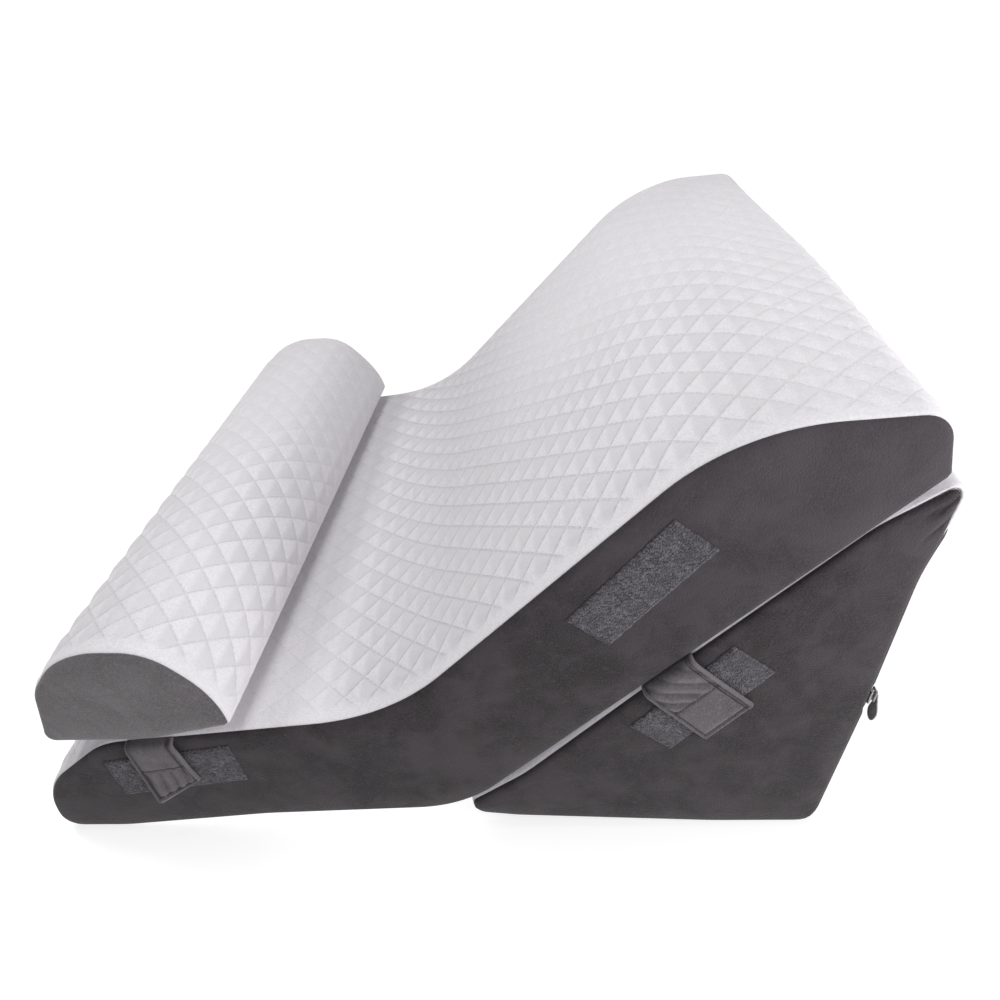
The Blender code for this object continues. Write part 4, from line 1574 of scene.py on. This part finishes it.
def roll_place(outline: Outline) -> Matrix:
    """Where the neck roll lies, so that its lowest point is where the solid's is."""
    ring = outline.ring(200, 200)
    middle = Vector(((ROLL_CENTRE[0] - MIDDLE) * MM, 0.0, float(ring[:, 1].min()) * MM))
    turn = Matrix.Rotation(-ROLL_SKEW, 4, "Z") @ Matrix.Rotation(ROLL_TILT, 4, "X")
    centre = middle + Vector((ROLL_CENTRE[1] * MM, 0.0, 0.0))
    place = Matrix.Translation(centre) @ turn @ Matrix.Translation(-middle)
    lowest = min(
        (place @ Vector(((x - MIDDLE) * MM, y * MM, z * MM))).z
        for x, z in ring
        for y in (-ROLL_SIDE + SEAM_WRAP[0][0], ROLL_SIDE - SEAM_WRAP[0][0])
    )
    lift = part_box("neck_roll")[0].z - lowest
    return Matrix.Translation((ROLL_SHIFT[0] * MM, ROLL_SHIFT[1] * MM, lift)) @ place


@dataclass(frozen=True)
class Lamp:
    """A square area light aimed at a point, in metres and watts."""

    name: str
    place: tuple[float, float, float]
    target: tuple[float, float, float]
    size: float
    power: float

    def build(self) -> None:
        """Adds the light, which the camera itself doesn't see."""
        data = bpy.data.lights.new(self.name, "AREA")
        data.size = self.size
        data.energy = self.power
        light = linked(self.name, data)
        light.location = self.place
        light.visible_camera = False
        toward = Vector(self.target) - Vector(self.place)
        light.rotation_euler = toward.to_track_quat("-Z", "Y").to_euler()


LAMPS = (
    Lamp("right", (1.0, -0.8, 0.62), (0.2, -0.1, 0.25), 0.5, 8.0),
    Lamp("left", (-1.1, 0.2, 1.2), (0.05, 0.0, 0.25), 0.35, 5.4),
    Lamp("front", (-0.3, -0.2, 1.4), (0.05, 0.0, 0.25), 0.5, 6.4),
    Lamp("over", (0.75, 0.1, 1.2), (0.3, 0.0, 0.3), 0.4, 2.5),
)


@dataclass(frozen=True)
class Studio:
    """A pale floor, soft light all round and the camera at the photograph's angle.

    The floor glows less near the pillow than beyond the reach. The sky is white to the camera and lights
    the pillow with its own strength.
    """

    floor: Colour = (0.5, 0.5, 0.5)
    glow: float = 0.92
    near_glow: float = 0.7
    reach: tuple[float, float] = (0.35, 1.4)
    sky: float = 0.2

    def build(self) -> None:
        """Builds the floor, lights, world and camera."""
        bpy.ops.mesh.primitive_plane_add(size=80.0)
        floor = bpy.context.object
        floor.name = "floor"
        surface = bpy.data.materials.new("floor")
        surface.use_nodes = True
        shader = surface.node_tree.nodes["Principled BSDF"]
        shader.inputs["Base Color"].default_value = rgba(self.floor)
        shader.inputs["Roughness"].default_value = 0.9
        shader.inputs["Emission Color"].default_value = (1.0, 1.0, 1.0, 1.0)
        graph = Graph(surface.node_tree)
        place = graph.node("ShaderNodeTexCoord").outputs["Object"]
        reach = graph.node("ShaderNodeVectorMath", {0: place}, operation="LENGTH").outputs["Value"]
        far = graph.ramp(reach, *self.reach)
        glow = graph.math("MULTIPLY_ADD", far, self.glow - self.near_glow, self.near_glow)
        graph.put(shader.inputs["Emission Strength"], glow)
        floor.data.materials.append(surface)
        world = bpy.data.worlds.new("studio")
        world.use_nodes = True
        graph = Graph(world.node_tree)
        seen = graph.node("ShaderNodeLightPath").outputs["Is Camera Ray"]
        sky = world.node_tree.nodes["Background"]
        sky.inputs["Color"].default_value = (1.0, 1.0, 1.0, 1.0)
        strength = graph.math("MULTIPLY_ADD", seen, 1.0 - self.sky, self.sky)
        graph.put(sky.inputs["Strength"], strength)
        bpy.context.scene.world = world
        for lamp in LAMPS:
            lamp.build()
        self.camera()
        bpy.context.scene.view_settings.view_transform = "Standard"

    def camera(self) -> None:
        """The photograph's camera."""
        data = bpy.data.cameras.new("camera")
        data.sensor_width = CAMERA_SENSOR
        data.lens = CAMERA_LENS
        data.clip_start = 0.01
        camera = linked("camera", data)
        turn = Matrix.Rotation(math.radians(CAMERA_YAW), 4, "Z")
        turn = turn @ Matrix.Rotation(math.radians(90.0 - CAMERA_PITCH), 4, "X")
        turn = turn @ Matrix.Rotation(math.radians(CAMERA_ROLL), 4, "Z")
        camera.matrix_world = Matrix.Translation(CAMERA_PLACE) @ turn
        bpy.context.scene.camera = camera


def main() -> None:
    """Builds the pillow and the studio."""
    logging.basicConfig(level=logging.INFO, format="%(name)s %(message)s", force=True)
    stitches, teeth = BeadLine(Bead.STITCH), BeadLine(Bead.TOOTH)
    pad = Cushion(
        "contour_pad", PAD_TOP, PAD_BASE, SIDE,
        crown=((0, 0.3), (290, 0.3), (420, 4.4), (780, 4.4), (860, 0.8)),
        puff=(
            (0, 1.4), (85, 1.4), (110, 0.5), (250, 0.6), (330, 1.3), (375, 3.2), (600, 3.0), (720, 2.0),
            (860, 1.4),
        ),
        calm=((0, 0.0), (440, 0.0), (600, 0.8)), droop=(-16.0, -1.0),
        panel_finish=CHARCOAL, fill=0.8, seed=3,
    )
    pad.build()
    wedge = Cushion(
        "base_wedge", WEDGE_TOP, WEDGE_BASE, SIDE,
        crown=((0, 0.0),), puff=((0, 0.8),), panel_finish=CHARCOAL, fill=0.85, seed=8, tuck=2.7,
        creases=(
            Crease((747.0, 372.0), (728.0, 352.0), 1.6, 2.2),
            Crease((744.0, 352.0), (731.0, 338.0), 1.4, 2.0),
            Crease((738.0, 362.0), (716.0, 351.0), 0.9, 2.4),
        ),
    )
    wedge.build()
    WedgeBack(wedge.outline, stitches, teeth).build()
    Cushion(
        "neck_roll", ROLL_TOP, ROLL_BASE, ROLL_SIDE,
        crown=((0, 1.8),), puff=((0, 1.9),), panel_finish=GREY, fill=0.8, seed=14, calm=((0, 0.75),),
        droop=(-5.0, -6.0), droop_from=(-200.0, 145.0), place=roll_place(Outline(ROLL_TOP, ROLL_BASE)),
    ).build()
    patches = (
        LoopPatch("loop_tape_pad", 536.0, 299.5, 51.4, 43.0, pad.face, 21),
        LoopPatch("loop_tape_wedge", 592.0, 176.0, 50.8, 46.0, wedge.face, 23),
        LoopPatch("loop_tape_foot", 136.0, 89.5, 10.0, 47.0, pad.face, 25),
    )
    tabs = (
        StrapTab(
            "strap_tab_wedge", (0.0, 0.0),
            (
                (544.5, 185.5, -2.0, 581.0, 225.0, -2.0),
                (545.0, 185.1, 3.0, 581.5, 224.6, 3.0),
                (547.0, 183.0, 7.3, 583.5, 222.5, 7.3),
                (552.0, 178.0, 8.8, 588.5, 217.8, 8.8),
                (574.0, 156.0, 8.8, 610.5, 197.0, 8.8),
                (600.0, 130.5, 8.8, 635.5, 174.0, 8.8),
            ),
            cross_seam=0.5, right_fold=1.0, left_fold=0.0,
            folds=12.0, fold_slant=0.75, fold_above=1.0, fold_below=0.0, seed=41,
        ),
        StrapTab(
            "strap_tab_foot", (51.0, 5.9),
            (
                (98.0, 122.5, -1.5, 142.5, 127.5, -1.5),
                (98.2, 122.3, 2.5, 142.7, 127.3, 2.5),
                (99.3, 120.5, 7.2, 144.0, 125.5, 7.2),
                (101.8, 111.0, 8.9, 148.0, 116.5, 8.8),
                (105.8, 85.0, 9.4, 153.0, 97.5, 8.8),
                (113.0, 49.5, 12.5, 158.5, 81.5, 8.8),
            ),
            cross_seam=0.52, right_fold=0.8, left_fold=0.8,
            folds=11.0, fold_slant=0.0, fold_above=0.35, fold_below=0.9, seed=43,
        ),
    )
    for item in (*patches, *tabs):
        for suffix, sign in (("near", -1), ("far", 1)):
            item.build(sign, suffix, stitches)
    Studio().build()


if __name__ == "__main__":
    main()
